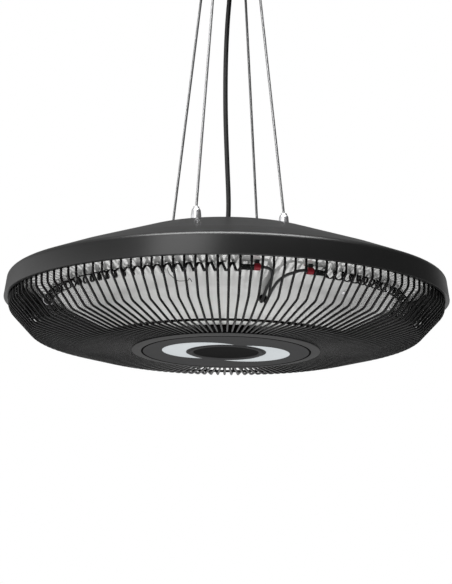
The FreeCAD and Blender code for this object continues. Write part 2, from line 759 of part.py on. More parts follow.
def heating_coil():
    """Helical resistance wire in the tube: one unbroken bar with mitred bends."""
    turns = int(value("coil_turns"))
    steps = int(value("coil_sides"))
    wire = value("coil_wire")
    first = value("tube_start + coil_tail")
    sweep = value("tube_sweep - 2 * coil_tail")
    count = turns * steps
    bends = [ring_point(first + sweep * index / count, 360 * index / steps, value("coil_radius"))
             for index in range(count + 1)]
    path = Part.makePolygon(bends)
    ahead = (bends[1] - bends[0]).normalize()
    side = ahead.cross(Vector(0, 0, 1)).normalize()
    lift = ahead.cross(side)
    reach = wire / math.sqrt(3)
    bearings = [math.radians(120 * index) for index in range(4)]
    corners = [bends[0] + side * reach * math.cos(b) + lift * reach * math.sin(b) for b in bearings]
    pipe = Part.BRepOffsetAPI.MakePipeShell(path)
    pipe.setTransitionMode(1)
    pipe.add(Part.makePolygon(corners))
    pipe.build()
    pipe.makeSolid()
    coil = doc.addObject("Part::Feature", "heating_coil")
    coil.Shape = Part.Solid(pipe.shape())
    near = range(steps // 2, len(bends) - steps)
    apart = min((bends[i] - bends[i + steps + shift]).Length for i in near for shift in (-1, 0)
                if i + steps + shift < len(bends))
    area = Part.Face(Part.makePolygon(corners)).Area
    print(f"heating coil: least gap to itself {apart - 2 * reach:.2f} mm,"
          f" volume over section times length {coil.Shape.Volume / (path.Length * area):.3f}")
    node(place(coil))


def tube_along(label, route, radius, sides):
    """A faceted cord along straight runs joined by tangent arcs as large as the runs allow."""
    runs = [(b - a).Length for a, b in zip(route, route[1:])]
    edges = []
    radii = []
    last = route[0]
    for index in range(1, len(route) - 1):
        corner = route[index]
        back = (route[index - 1] - corner).normalize()
        on = (route[index + 1] - corner).normalize()
        cut = value("bend_share") * min(runs[index - 1], runs[index])
        half_turn = (math.pi - back.getAngle(on)) / 2
        radii.append(cut / math.tan(half_turn))
        start = corner + back * cut
        end = corner + on * cut
        inward = (back + on).normalize()
        middle = corner + inward * (radii[-1] / math.cos(half_turn) - radii[-1])
        edges.append(Part.LineSegment(last, start).toShape())
        edges.append(Part.Arc(start, middle, end).toShape())
        last = end
    edges.append(Part.LineSegment(last, route[-1]).toShape())
    path = Part.Wire(edges)
    ahead = (route[1] - route[0]).normalize()
    side = ahead.cross(Vector(0.3, 0.9, 0.1)).normalize()
    lift = ahead.cross(side)
    reach = radius / math.cos(math.pi / sides)
    bearings = [2 * math.pi * index / sides for index in range(sides + 1)]
    ring = Part.makePolygon([route[0] + (side * math.cos(b) + lift * math.sin(b)) * reach for b in bearings])
    cord = doc.addObject("Part::Feature", label)
    cord.Shape = path.makePipeShell([ring], True, False)
    share = cord.Shape.Volume / (path.Length * Part.Face(ring).Area)
    print(f"{label}: length {path.Length:.1f} mm, volume over section times length {share:.4f}, radii",
          [round(r) for r in radii])
    node(place(cord))


def power_cord():
    """Mains cord from the gland up to the canopy's terminals, with a slight bow."""
    foot = value("crown_height + gland_height")
    top = value("hang_drop - ceiling_plate_thickness - block_height")
    bow = ((0, foot), (0, 134), (-2.2, 196), (-4.6, 262), (-5.2, 330), (-3.4, 392), (0, 436), (0, top))
    tube_along("power_cord", [Vector(across, 0, up) for across, up in bow], value("cord_radius"),
               int(value("facet_count")))


def element_leads():
    """Sleeved leads from the seals to the grommet."""
    radius = value("tube_ring_radius")
    angle = math.radians(value("grommet_angle"))
    slope = math.radians(value("cone_slope"))
    across, up = on_cone("grommet_circle_radius", "0", "grommet_height")
    mouth = Vector(value(across) * math.cos(angle), value(across) * math.sin(angle), value(up))
    out = Vector(math.sin(slope) * math.cos(angle), math.sin(slope) * math.sin(angle), -math.cos(slope))
    aside = Vector(-math.sin(angle), math.cos(angle), 0) * value("lead_spread")
    bends = {"left_lead": ((57, -230, -5), (58, -215, -10), (53, -200, -18), (48, -187, -28)),
             "right_lead": ((86, -224, -6), (75, -221, -9), (65, -211, -15), (59, -198, -22),
                            (54, -186, -30))}
    for label, seal, way in (("left_lead", "tube_start + tube_sweep + seal_sweep", 1),
                             ("right_lead", "tube_start - seal_sweep", -1)):
        bearing = math.radians(value(seal))
        start = Vector(radius * math.cos(bearing), radius * math.sin(bearing), -value("tube_drop"))
        straight = Vector(-math.sin(bearing), math.cos(bearing), 0) * way * value("lead_stand")
        last = mouth - aside * way
        route = [start, start + straight] + [Vector(*point) for point in bends[label]]
        route += [last + out * value("lead_stand"), last]
        tube_along(label, route, value("lead_radius"), int(value("lead_sides")))


# Wire guard
def guard_rim_ring():
    """Flat ring of straight bars on the rim's lip, to which the wires are welded."""
    body = new_body("guard_rim_ring")
    lean = "(housing_wall + rim_ring_thickness) * tan(band_lean)"
    corner = f"rim_radius - housing_wall / cos(band_lean) - {lean} - seat_gap"

    def draw(sketch):
        facets(f"({corner}) * cos(180 / rim_ring_sides)", sides=int(value("rim_ring_sides")))(sketch)
        facets("spoke_circle_radius - rim_ring_inset", sides=int(value("rim_ring_sides")))(sketch)
    raised(body, draw, "rim_ring_thickness", "housing_wall")
    node(place(body))


def guard_spokes():
    """Bent wires of the guard, from the rim ring down and in to the drum."""
    half = "spoke_width / 2"
    steep = "atan((knee_drop - bend_drop) / (spoke_circle_radius - knee_radius))"
    gentle = f"atan({SPOKE_RISE})"
    flat = f"atan({SPOKE_FALL})"

    def beside(point, first, second, sign):
        """A corner beside a bend of the centre line, between runs of two slopes."""
        reach = f"{sign} * {half} / cos(({first} - {second}) / 2)"
        slope = f"(({first} + {second}) / 2)"
        return (f"{point[0]} + {reach} * sin({slope})", f"{point[1]} - {reach} * cos({slope})")
    bends = ((("spoke_circle_radius", "-bend_drop"), "90 deg", steep),
             (("knee_radius", "-knee_drop"), steep, gentle),
             (("hoop_radius", "-hoop_drop"), gentle, flat))
    outside = [beside(*bend, 1) for bend in bends]
    inside = [beside(*bend, -1) for bend in bends]
    foot = [("drum_radius", TRIM_TOP), ("drum_radius", f"{TRIM_TOP} + spoke_width")]
    points = ([(f"spoke_circle_radius + {half}", "housing_wall")] + outside + foot + inside[::-1]
              + [(f"spoke_circle_radius - {half}", "housing_wall")])
    body = new_body("guard_spokes")
    sketch = new_sketch(body, "XZ_Plane")
    draw_polygon(sketch, points)
    pad = body.newObject("PartDesign::Pad", "guard_spoke")
    pad.Profile = sketch
    pad.SideType = "Symmetric"
    pad.setExpression("Length", bound("spoke_width"))
    doc.recompute()
    repeat(body, pad, "spoke_count")
    node(place(body, turn="spoke_bearing"))


def guard_hoop():
    """Hoop lying on the wires, straight between every second one."""
    body = new_body("guard_hoop")
    corner = "((hoop_radius + hoop_width / 2) / cos(360 / spoke_count))"
    lift = (f"({corner} - hoop_radius) * {SPOKE_RISE} - hoop_drop"
            f" + spoke_width / 2 / cos(atan({SPOKE_RISE}))")
    sides = int(value("spoke_count")) // 2

    def hoop(sketch):
        facets("hoop_radius + hoop_width / 2", sides=sides)(sketch)
        facets("hoop_radius - hoop_width / 2", sides=sides)(sketch)
    raised(body, hoop, "hoop_width", lift)
    node(place(body, turn="spoke_bearing"))


# Lamp drum in the middle of the guard
def lamp_drum():
    """Shallow drum under the reflector's foot, open below, with bosses for the cover."""
    inner = "drum_radius - drum_wall"
    ceiling = "(-cone_foot_drop - drum_wall)"
    body = turned("lamp_drum", [
        ("0", ceiling), (inner, ceiling), (inner, TRIM_TOP), ("drum_radius", TRIM_TOP),
        ("drum_radius", "-cone_foot_drop"), ("0", "-cone_foot_drop")])
    pierced(body, facets("wiring_hole_radius"))

    def bosses(sketch):
        for index in range(int(value("boss_count"))):
            bearing = f"(boss_angle + {index} * 360 / boss_count)"
            rectangle("boss_side", "boss_side", f"boss_circle_radius * cos({bearing})",
                      f"boss_circle_radius * sin({bearing})")(sketch)
    raised(body, bosses, f"{ceiling} - {TRIM_TOP}", TRIM_TOP)
    node(place(body))


def trim_ring():
    """Bevelled ring under the drum and the wires' inner ends."""
    body = turned("trim_ring", [
        ("trim_inner_radius", TRIM_TOP), ("trim_inner_radius", COVER_UNDER),
        ("trim_radius", f"{TRIM_TOP} - trim_edge"), ("trim_radius", TRIM_TOP)])
    node(place(body))


def crescent(sketch, grow):
    """A crescent between two arcs, widened on all sides by grow."""
    inner = f"(window_inner_radius - ({grow}))"
    outer = f"(window_outer_radius + ({grow}))"
    tip = value(f"({inner}^2 - {outer}^2 + window_offset^2) / 2 / window_offset")
    height = math.sqrt(value(inner) ** 2 - tip ** 2)
    ends = [Vector(tip, sign * height, 0) for sign in (-1, 1)]
    ties = []
    for radius, centre in ((inner, "0"), (outer, "window_offset")):
        far = Vector(value(f"{centre} + {radius}"), 0, 0)
        shape = sketch.addGeometry(Part.Arc(ends[0], far, ends[1]), False)
        ties.append((Sketcher.Constraint("Radius", shape, value(radius)), radius))
        ties += tie(shape, 3, centre, "0")
    ties += [(Sketcher.Constraint("Coincident", 0, end, 1, end), None) for end in (1, 2)]
    constrain(sketch, ties)


def cover_plate():
    """Cover with two light windows and a hole for the sensor, screwed to the drum's bosses."""
    edge = "trim_inner_radius - cover_gap"
    bore = "sensor_radius + seat_gap"
    body = turned("cover_plate", [
        (bore, COVER_UNDER), (edge, COVER_UNDER), (edge, TRIM_TOP), (bore, TRIM_TOP)])
    repeat(body, pierced(body, lambda s: crescent(s, "0")), "2")
    node(place(body, turn="window_angle"))


def light_windows():
    """Opal crescents that fill the cover's windows."""
    body = new_body("light_windows")
    first = raised(body, lambda s: crescent(s, "-seat_gap / 2"), "trim_thickness", COVER_UNDER)
    repeat(body, first, "2")
    node(place(body, turn="window_angle"))


def sensor_parts():
    """Raised ring under the cover, the dark window that rests on it, and the receiver behind."""
    bezel = turned("sensor_bezel", [
        ("bezel_inner_radius", COVER_UNDER), ("bezel_radius - bezel_bevel", f"{COVER_UNDER} - bezel_height"),
        ("bezel_radius", COVER_UNDER)])
    node(place(bezel))
    window = new_body("sensor_window")
    raised(window, lambda s: draw_circle(s, "0", "0", "sensor_radius"), "trim_thickness", COVER_UNDER)
    node(place(window))
    receiver = new_body("signal_receiver")
    raised(receiver, rectangle("receiver_side", "receiver_side"), "receiver_height", TRIM_TOP)
    node(place(receiver))


def lamp_boards():
    """Lamp boards under the drum's top, one above each window, with their lamps facing down."""
    under = "(-cone_foot_drop - drum_wall - board_thickness)"
    boards = new_body("lamp_boards")
    first = raised(boards, rectangle("lamp_board_width", "lamp_board_length", "led_row_radius"),
                   "board_thickness", under)
    repeat(boards, first, "2")
    node(place(boards, turn="window_angle"))
    chips = new_body("lamp_chips")

    def row(sketch):
        for index in range(int(value("led_count"))):
            step = f"({index} - (led_count - 1) / 2) * lamp_board_length / led_count"
            rectangle("led_side", "led_side", "led_row_radius", step)(sketch)
    first = raised(chips, row, "led_height", f"{under} - led_height")
    repeat(chips, first, "2")
    node(place(chips, turn="window_angle"))


def build():
    """Make every sub-part, then test and write them."""
    for make in (ceiling_plate, canopy_cup, rope_ferrules, cord_bush, canopy_terminals, steel_ropes,
                 power_cord, top_housing, chassis_plate, grip_bodies, grip_collars, grip_nuts, cord_gland,
                 gland_nut, control_box, boxed_parts, reflector, reflector_posts, reflector_screws,
                 lead_grommet, quartz_tube, tube_seals, seal_brackets, tube_clips, heating_coil,
                 element_leads, guard_rim_ring, guard_spokes, guard_hoop, lamp_drum, trim_ring, cover_plate,
                 light_windows, sensor_parts, lamp_boards):
        make()
    doc.recompute()
    for obj in doc.Objects:
        if {"Invalid", "Error"} & set(obj.State):
            raise RuntimeError(f"{obj.Label} failed: {obj.State}")
    for label, obj in NODES.items():
        if obj.Shape.isNull() or not obj.Shape.isValid() or not obj.Shape.Solids:
            raise RuntimeError(f"{label} has no valid solid")
    os.makedirs("parts", exist_ok=True)
    for label, obj in NODES.items():
        obj.Shape.exportStep(f"parts/{label}.step")
    print(len(NODES), "nodes")


build()
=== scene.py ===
"""Hanging patio heater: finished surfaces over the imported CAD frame.

Lengths in the sub-assemblies are millimetres in the heater's own frame, with z = 0 on the plane of the
hood's lower rim. Meshes are written in metres in the row frame, HANG_DROP lower. A profile is a list of
corners, each with its distance from an axis, its height and the radius of the arc that rounds it.
"""
from __future__ import annotations

import json
import logging
import math
from dataclasses import dataclass
from enum import Enum
from typing import Any, Iterable, Sequence

import bmesh
import bpy
import numpy as np
from mathutils import Matrix, Vector

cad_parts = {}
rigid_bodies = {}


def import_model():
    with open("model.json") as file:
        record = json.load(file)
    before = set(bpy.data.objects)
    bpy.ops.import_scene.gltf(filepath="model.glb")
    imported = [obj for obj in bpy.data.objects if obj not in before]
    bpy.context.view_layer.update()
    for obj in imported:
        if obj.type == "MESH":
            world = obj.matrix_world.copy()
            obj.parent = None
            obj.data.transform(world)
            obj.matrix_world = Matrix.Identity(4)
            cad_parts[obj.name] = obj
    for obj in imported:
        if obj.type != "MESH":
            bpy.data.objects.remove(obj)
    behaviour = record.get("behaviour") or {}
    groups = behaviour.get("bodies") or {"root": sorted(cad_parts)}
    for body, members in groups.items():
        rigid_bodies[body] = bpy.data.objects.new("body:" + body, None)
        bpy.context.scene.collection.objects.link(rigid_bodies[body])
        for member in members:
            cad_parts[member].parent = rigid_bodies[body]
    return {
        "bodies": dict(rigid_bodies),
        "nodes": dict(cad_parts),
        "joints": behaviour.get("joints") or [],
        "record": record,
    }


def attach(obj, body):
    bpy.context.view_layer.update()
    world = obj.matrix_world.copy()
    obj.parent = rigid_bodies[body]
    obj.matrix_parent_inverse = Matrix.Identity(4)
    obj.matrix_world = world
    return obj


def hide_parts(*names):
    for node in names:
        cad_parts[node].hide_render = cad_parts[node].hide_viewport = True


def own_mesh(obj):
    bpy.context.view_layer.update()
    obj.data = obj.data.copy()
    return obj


LOG = logging.getLogger("patio_heater")
MM = 0.001
HANG_DROP = 475.0
IMAGE_SIZE = (452, 584)
SENSOR_HEIGHT = 36.0
WELD = 1e-6
UP = np.array([0.0, 0.0, 1.0])
AWAY = np.array([0.0, 1.0, 0.0])
SQUARE = np.array([(1, 1), (-1, 1), (-1, -1), (1, -1)])

Pair = tuple[float, float]
Point = tuple[float, float, float]
Fade = tuple[float, float, float, float]
Profile = Sequence[Point]
Route = Sequence[Point]


class Body(str, Enum):
    """Rigid bodies of the frame; each collar's name ends in its number."""

    CEILING = "ceiling_mount"
    HEATER = "heater"
    COLLAR = "collar_"


class Grain(Enum):
    """Kinds of fine relief on a surface."""

    SMOOTH = 0
    POWDER = 1
    SPUN = 2
    WOVEN = 3
    DRAWN = 4


# Meshes


@dataclass(frozen=True)
class Surface:
    """Points in millimetres and the faces between them."""

    points: np.ndarray
    faces: list[tuple[int, ...]]

    def moved(self, matrix: Matrix) -> Surface:
        """The same surface under a transform."""
        spun = np.array(matrix.to_3x3())
        return Surface(self.points @ spun.T + np.array(matrix.translation), self.faces)


def joined(parts: Iterable[Surface]) -> Surface:
    """Several surfaces as one.

    Args:
        parts: the surfaces.

    Returns:
        One surface with the parts side by side.
    """
    parts = list(parts)
    starts = np.cumsum([0] + [len(part.points) for part in parts])
    faces = [tuple(int(i + start) for i in face)
             for part, start in zip(parts, starts) for face in part.faces]
    return Surface(np.concatenate([part.points for part in parts]), faces)


def grid(points: np.ndarray, around: bool = True, along: bool = False) -> Surface:
    """Quads over a grid of points: each point joins its neighbours in both directions.

    Args:
        points: an array of rows, points in a row, and coordinates.
        around: close each row on itself.
        along: close the last row on the first.

    Returns:
        The surface, with flat caps on the end rows where rows close and the grid doesn't.
    """
    rows, count, _ = points.shape
    index = np.arange(rows * count).reshape(rows, count)
    if around:
        index = np.concatenate([index, index[:, :1]], axis=1)
    if along:
        index = np.concatenate([index, index[:1]], axis=0)
    quads = np.stack([index[:-1, :-1], index[:-1, 1:], index[1:, 1:], index[1:, :-1]], axis=-1)
    faces = [tuple(quad) for quad in quads.reshape(-1, 4).tolist()]
    if around and not along:
        faces += [tuple(range(count))[::-1], tuple(range((rows - 1) * count, rows * count))]
    return Surface(points.reshape(-1, 3), faces)


def rounded(profile: Profile, steps: int, closed: bool = True) -> np.ndarray:
    """A polyline with each corner replaced by a tangent arc.

    At a corner of turn t, the arc of radius r starts r tan(t / 2) before it and ends as far after it.

    Args:
        profile: across, up and arc radius of each corner; a radius of 0 keeps the corner.
        steps: chords in each arc.
        closed: the outline closes on itself.

    Returns:
        An array of across and up.
    """
    places = np.array([corner[:2] for corner in profile], float)
    count = len(places)
    found = []
    for index, (_, _, radius) in enumerate(profile):
        corner = places[index]
        if radius == 0 or (not closed and index in (0, count - 1)):
            found.append(corner[None])
            continue
        back = places[index - 1] - corner
        on = places[(index + 1) % count] - corner
        back, on = back / np.linalg.norm(back), on / np.linalg.norm(on)
        half = math.acos(np.clip(back @ on, -1, 1)) / 2
        inward = (back + on) / np.linalg.norm(back + on)
        centre = corner + inward * radius / math.sin(half)
        start, end = corner + back * radius / math.tan(half), corner + on * radius / math.tan(half)
        first, last = (math.atan2(*(p - centre)[::-1]) for p in (start, end))
        sweep = (last - first + math.pi) % (2 * math.pi) - math.pi
        angles = first + sweep * np.linspace(0, 1, steps + 1)
        found.append(centre + radius * np.stack([np.cos(angles), np.sin(angles)], axis=1))
    return np.concatenate(found)


def lifted(profile: Profile, height: float) -> list[Point]:
    """A profile moved up by a height."""
    return [(radius, height + rise, arc) for radius, rise, arc in profile]


def inset(line: np.ndarray, wall: float) -> np.ndarray:
    """A polyline moved to its left by a wall: runs move along their normals, and adjoining runs meet again.

    Args:
        line: an array of points.
        wall: the distance.

    Returns:
        An array of as many points.
    """
    runs = np.diff(line, axis=0)
    normals = np.stack([-runs[:, 1], runs[:, 0]], axis=1) / np.linalg.norm(runs, axis=1)[:, None]
    before = np.concatenate([normals[:1], normals])
    after = np.concatenate([normals, normals[-1:]])
    return line + wall * (before + after) / (1 + np.sum(before * after, axis=1))[:, None]


def lathe(outline: np.ndarray, segments: int, closed: bool = True) -> Surface:
    """An outline of radius r and height h carried round Z: (r cos a, r sin a, h).

    Args:
        outline: an array of radius and height.
        segments: steps round the axis.
        closed: the outline closes on itself; an open one starts and ends on the axis.

    Returns:
        The closed surface.
    """
    angles = np.linspace(0, 2 * math.pi, segments, endpoint=False)[:, None]
    radius, height = outline[:, 0][None], outline[:, 1][None]
    points = np.stack([radius * np.cos(angles), radius * np.sin(angles), height + 0 * angles], axis=-1)
    return grid(points, around=closed, along=True)


def turned(profile: Profile, steps: int, segments: int) -> Surface:
    """A ring: a closed profile with its corners rounded, carried round Z."""
    return lathe(rounded(profile, steps), segments)


def turned_solid(profile: Profile, steps: int, segments: int) -> Surface:
    """A solid: a profile from axis to axis with its corners rounded, carried round Z."""
    return lathe(rounded(profile, steps, closed=False), segments, closed=False)


def circle(radius: float, sides: int) -> np.ndarray:
    """Corners of a round section: radius times (cos a, sin a)."""
    angles = np.linspace(0, 2 * math.pi, sides, endpoint=False)
    return radius * np.stack([np.cos(angles), np.sin(angles)], axis=1)


def upright(line: np.ndarray) -> np.ndarray:
    """A line of radius and height as points in the plane of X and Z: (r, 0, h)."""
    return np.stack([line[:, 0], 0 * line[:, 0], line[:, 1]], axis=1)


def swept(path: np.ndarray, section: np.ndarray, lead: np.ndarray) -> Surface:
    """A section carried along a path, kept square to it.

    At each point the section's first axis is the lead direction less its part along the path, and its
    second axis is square to both.

    Args:
        path: an array of points.
        section: an array of corners, or one such array for each point.
        lead: a direction, or one for each point, never along the path.

    Returns:
        The surface, closed by flat ends.
    """
    ahead = np.gradient(path, axis=0)
    ahead /= np.linalg.norm(ahead, axis=1)[:, None]
    lead = np.broadcast_to(lead, path.shape)
    first = lead - np.sum(lead * ahead, axis=1)[:, None] * ahead
    first /= np.linalg.norm(first, axis=1)[:, None]
    second = np.cross(ahead, first)
    section = np.broadcast_to(section, (len(path),) + section.shape[-2:])
    points = path[:, None] + section[..., :1] * first[:, None] + section[..., 1:] * second[:, None]
    return grid(points)


def polar(radius: Any, bearing: Any, height: Any) -> np.ndarray:
    """Points at a radius and a bearing in degrees: (r cos b, r sin b, h)."""
    radius, bearing, height = np.broadcast_arrays(radius, np.radians(bearing), height)
    return np.stack([radius * np.cos(bearing), radius * np.sin(bearing), height], axis=-1).astype(float)


def copies(surface: Surface, bearings: Iterable[float]) -> Surface:
    """A surface repeated round the heater's axis at bearings in degrees."""
    return joined(surface.moved(Matrix.Rotation(math.radians(b), 4, "Z")) for b in bearings)


def spline_points(route: Route, resolution: int) -> np.ndarray:
    """Points read from the smooth curve that a route's points control.

    Args:
        route: control points, in millimetres in the heater's frame.
        resolution: points between two control points.

    Returns:
        An array of points along the curve.
    """
    curve = bpy.data.curves.new("route", "CURVE")
    curve.dimensions = "3D"
    spline = curve.splines.new("NURBS")
    spline.points.add(len(route) - 1)
    spline.points.foreach_set("co", [c for point in route for c in (*point, 1.0)])
    spline.order_u = 3
    spline.use_endpoint_u = True
    curve.resolution_u = resolution
    holder = bpy.data.objects.new("route", curve)
    mesh = bpy.data.meshes.new_from_object(holder)
    points = np.empty(len(mesh.vertices) * 3, np.float32)
    mesh.vertices.foreach_get("co", points)
    bpy.data.objects.remove(holder)
    bpy.data.meshes.remove(mesh)
    bpy.data.curves.remove(curve)
    return points.reshape(-1, 3).astype(float)


def in_row(points: Any) -> np.ndarray:
    """Millimetres in the heater's frame as metres in the row frame."""
    return (np.asarray(points, float) - (0, 0, HANG_DROP)) * MM


# Shader nodes


class Value:
    """A shader socket that takes part in Python arithmetic."""

    def __init__(self, shader: Shader, socket: Any) -> None:
        """Keep the socket and the shader it belongs to."""
        self.shader = shader
        self.socket = socket

    def __add__(self, other: Any) -> Value:
        """Sum."""
        return self.shader.maths("ADD", self, other)

    __radd__ = __add__

    def __mul__(self, other: Any) -> Value:
        """Product."""
        return self.shader.maths("MULTIPLY", self, other)

    __rmul__ = __mul__

    def __sub__(self, other: Any) -> Value:
        """Difference."""
        return self.shader.maths("SUBTRACT", self, other)

    def __rsub__(self, other: Any) -> Value:
        """Difference from a number."""
        return self.shader.maths("SUBTRACT", other, self)

    def __truediv__(self, other: Any) -> Value:
        """Quotient."""
        return self.shader.maths("DIVIDE", self, other)

    def __pow__(self, other: Any) -> Value:
        """Power."""
        return self.shader.maths("POWER", self, other)


class Shader:
    """The node tree of one material or of the world."""

    def __init__(self, owner: Any) -> None:
        """Start an empty tree.

        Args:
            owner: a material or a world.
        """
        owner.use_nodes = True
        self.tree = owner.node_tree
        self.tree.nodes.clear()

    def node(self, kind: str, settings: dict | None = None, **sockets: Any) -> Any:
        """Add a node.

        Args:
            kind: the node's type.
            settings: its properties, set first; a ramp's stops are pairs of place and colour.
            sockets: values or links of its inputs, by name with underscores for spaces, or as in_N.

        Returns:
            The node.
        """
        made = self.tree.nodes.new(kind)
        for name, setting in (settings or {}).items():
            if name == "stops":
                for element, (place, colour) in zip(made.color_ramp.elements, setting):
                    element.position = place
                    element.color = colour
            else:
                setattr(made, name, setting)
        for name, given in sockets.items():
            key = int(name[3:]) if name.startswith("in_") else name.replace("_", " ")
            target = made.inputs[key]
            if isinstance(given, Value):
                self.tree.links.new(given.socket, target)
            else:
                target.default_value = given
        return made

    def out(self, node: Any, name: str | int = 0) -> Value:
        """One output of a node, ready for arithmetic."""
        return Value(self, node.outputs[name])

    def maths(self, operation: str, first: Any, second: Any) -> Value:
        """A Math node of two values."""
        return self.out(self.node("ShaderNodeMath", {"operation": operation}, in_0=first, in_1=second))

    def scaled(self, colour: Value, factor: Value) -> Value:
        """A colour times a value."""
        return self.out(self.node("ShaderNodeVectorMath", {"operation": "SCALE"}, in_0=colour, Scale=factor))

    def coordinates(self) -> Value:
        """Object coordinates."""
        return self.out(self.node("ShaderNodeTexCoord"), "Object")

    def noise(self, place: Value, scale: float, detail: float = 3.0, rough: float = 0.55) -> Value:
        """Fractal noise from 0 to 1."""
        made = self.node("ShaderNodeTexNoise", Vector=place, Scale=scale, Detail=detail, Roughness=rough)
        return self.out(made)

    def axis_radius(self, place: Value) -> Value:
        """Distance from the heater's axis: the root of x squared plus y squared.

        Args:
            place: coordinates on the piece.

        Returns:
            The distance, in metres.
        """
        split = self.node("ShaderNodeSeparateXYZ", Vector=place)
        across, away = self.out(split, 0), self.out(split, 1)
        return (across * across + away * away) ** 0.5

    def shades(self, factor: Value, dark: Sequence[float], light: Sequence[float], span: Pair) -> Value:
        """A ramp between two colours.

        Args:
            factor: the value that picks the colour.
            dark: colour at and below the span's start.
            light: colour at and above its end.
            span: the factor's start and end.

        Returns:
            The colour.
        """
        stops = [(at, (*colour, 1.0)) for at, colour in zip(span, (dark, light))]
        return self.out(self.node("ShaderNodeValToRGB", {"stops": stops}, Fac=factor))

    def level(self, factor: Value, low: Any, high: Any, start: float = 0.0, end: float = 1.0) -> Value:
        """A value carried from one span to another, held at its ends.

        Args:
            factor: the value.
            low: result at and before the start.
            high: result at and after the end.
            start: the factor at the first result.
            end: the factor at the second.

        Returns:
            The new value.
        """
        return self.out(self.node("ShaderNodeMapRange", {"clamp": True}, Value=factor, From_Min=start,
                                  From_Max=end, To_Min=low, To_Max=high))

    def relief(self, height: Value, strength: float, distance: float) -> Value:
        """A bump normal from a height."""
        return self.out(self.node("ShaderNodeBump", Height=height, Strength=strength, Distance=distance))

    def principled(self, **sockets: Any) -> Value:
        """A principled surface."""
        return self.out(self.node("ShaderNodeBsdfPrincipled", **sockets))

    def finish(self, shader: Value, kind: str = "ShaderNodeOutputMaterial") -> None:
        """Link the last shader to the output."""
        self.node(kind, Surface=shader)


# Finishes

NOISE_MIDDLE = (0.3, 0.7)
FINE_SHARE = 0.4
GLOSS_SPREAD = (0.88, 1.12)
WEAVE_SHARE = 0.7
DRAWN_STRETCH = (1.0, 1.0, 0.04)


def tint(colour: Sequence[float], factor: float) -> tuple[float, ...]:
    """A colour made lighter or darker by a factor."""
    return tuple(min(1.0, max(0.0, part * factor)) for part in colour)


@dataclass(frozen=True)
class Finish:
    """A coat or a bare material, with its fine relief and its small unevenness.

    Fields:
        name: part of the material's name, after finish_.
        colour: mean base colour.
        roughness: mean roughness.
        metallic: 1 for bare metal.
        grain: the kind of relief.
        grain_size: size of the relief, in metres.
        depth: height of the relief, in metres.
        mottle: share by which the colour varies.
        coat: weight of a clear coat.
        coat_roughness: roughness of that coat.
        specular: specular level.
    """

    name: str
    colour: Point
    roughness: float
    metallic: float = 0.0
    grain: Grain = Grain.POWDER
    grain_size: float = 0.001
    depth: float = 0.00003
    mottle: float = 0.08
    coat: float = 0.0
    coat_roughness: float = 0.2
    specular: float = 0.5

    def height(self, shader: Shader, place: Value) -> Value:
        """Relief by the kind of grain, from 0 to 1.

        Args:
            shader: the tree.
            place: coordinates on the piece.

        Returns:
            The height.
        """
        if self.grain is Grain.SPUN:
            rings = shader.node("ShaderNodeCombineXYZ", X=shader.axis_radius(place) / self.grain_size)
            return shader.noise(shader.out(rings), scale=1.0, detail=4.0, rough=0.7)
        if self.grain is Grain.WOVEN:
            bands = {"wave_type": "BANDS", "bands_direction": "DIAGONAL"}
            wave = shader.node("ShaderNodeTexWave", bands, Vector=place, Scale=0.3 / self.grain_size)
            fuzz = shader.noise(place, scale=0.6 / self.grain_size, detail=2.0)
            return shader.out(wave) * WEAVE_SHARE + fuzz * (1 - WEAVE_SHARE)
        if self.grain is Grain.DRAWN:
            lines = shader.node("ShaderNodeMapping", Vector=place, Scale=DRAWN_STRETCH)
            return shader.noise(shader.out(lines), scale=1.0 / self.grain_size)
        detail = 4.0 if self.grain is Grain.POWDER else 2.0
        return shader.noise(place, scale=1.0 / self.grain_size, detail=detail)

    def gloss(self, shader: Shader, place: Value) -> Any:
        """Mean roughness at a place."""
        return self.roughness

    def bareness(self, shader: Shader, place: Value) -> Any:
        """Metallic share at a place."""
        return self.metallic

    def shade(self, shader: Shader, place: Value, colour: Value) -> Value:
        """Colour at a place, from the mottled colour."""
        return colour

    def surface(self, shader: Shader, place: Value) -> Value:
        """The finish's surface: slow clouds and fine grain vary its colour and gloss.

        Args:
            shader: the tree.
            place: coordinates on the piece.

        Returns:
            The last shader.
        """
        cloud = shader.noise(place, scale=14.0, detail=5.0, rough=0.6)
        fine = self.height(shader, place)
        mixed = cloud * (1 - FINE_SHARE) + fine * FINE_SHARE
        dark, light = tint(self.colour, 1 - self.mottle), tint(self.colour, 1 + self.mottle)
        mottled = shader.shades(mixed, dark, light, NOISE_MIDDLE)
        return shader.principled(
            Base_Color=self.shade(shader, place, mottled), Metallic=self.bareness(shader, place),
            Roughness=self.gloss(shader, place) * shader.level(mixed, *GLOSS_SPREAD, *NOISE_MIDDLE),
            Coat_Weight=self.coat, Coat_Roughness=self.coat_roughness, Specular_IOR_Level=self.specular,
            Normal=shader.relief(fine, strength=0.5, distance=self.depth))

    def material(self) -> bpy.types.Material:
        """The finish's material, built on its first use.

        Returns:
            The material.
        """
        name = f"finish_{self.name}"
        made = bpy.data.materials.get(name)
        if made is None:
            made = bpy.data.materials.new(name)
            shader = Shader(made)
            shader.finish(self.surface(shader, shader.coordinates()))
        return made


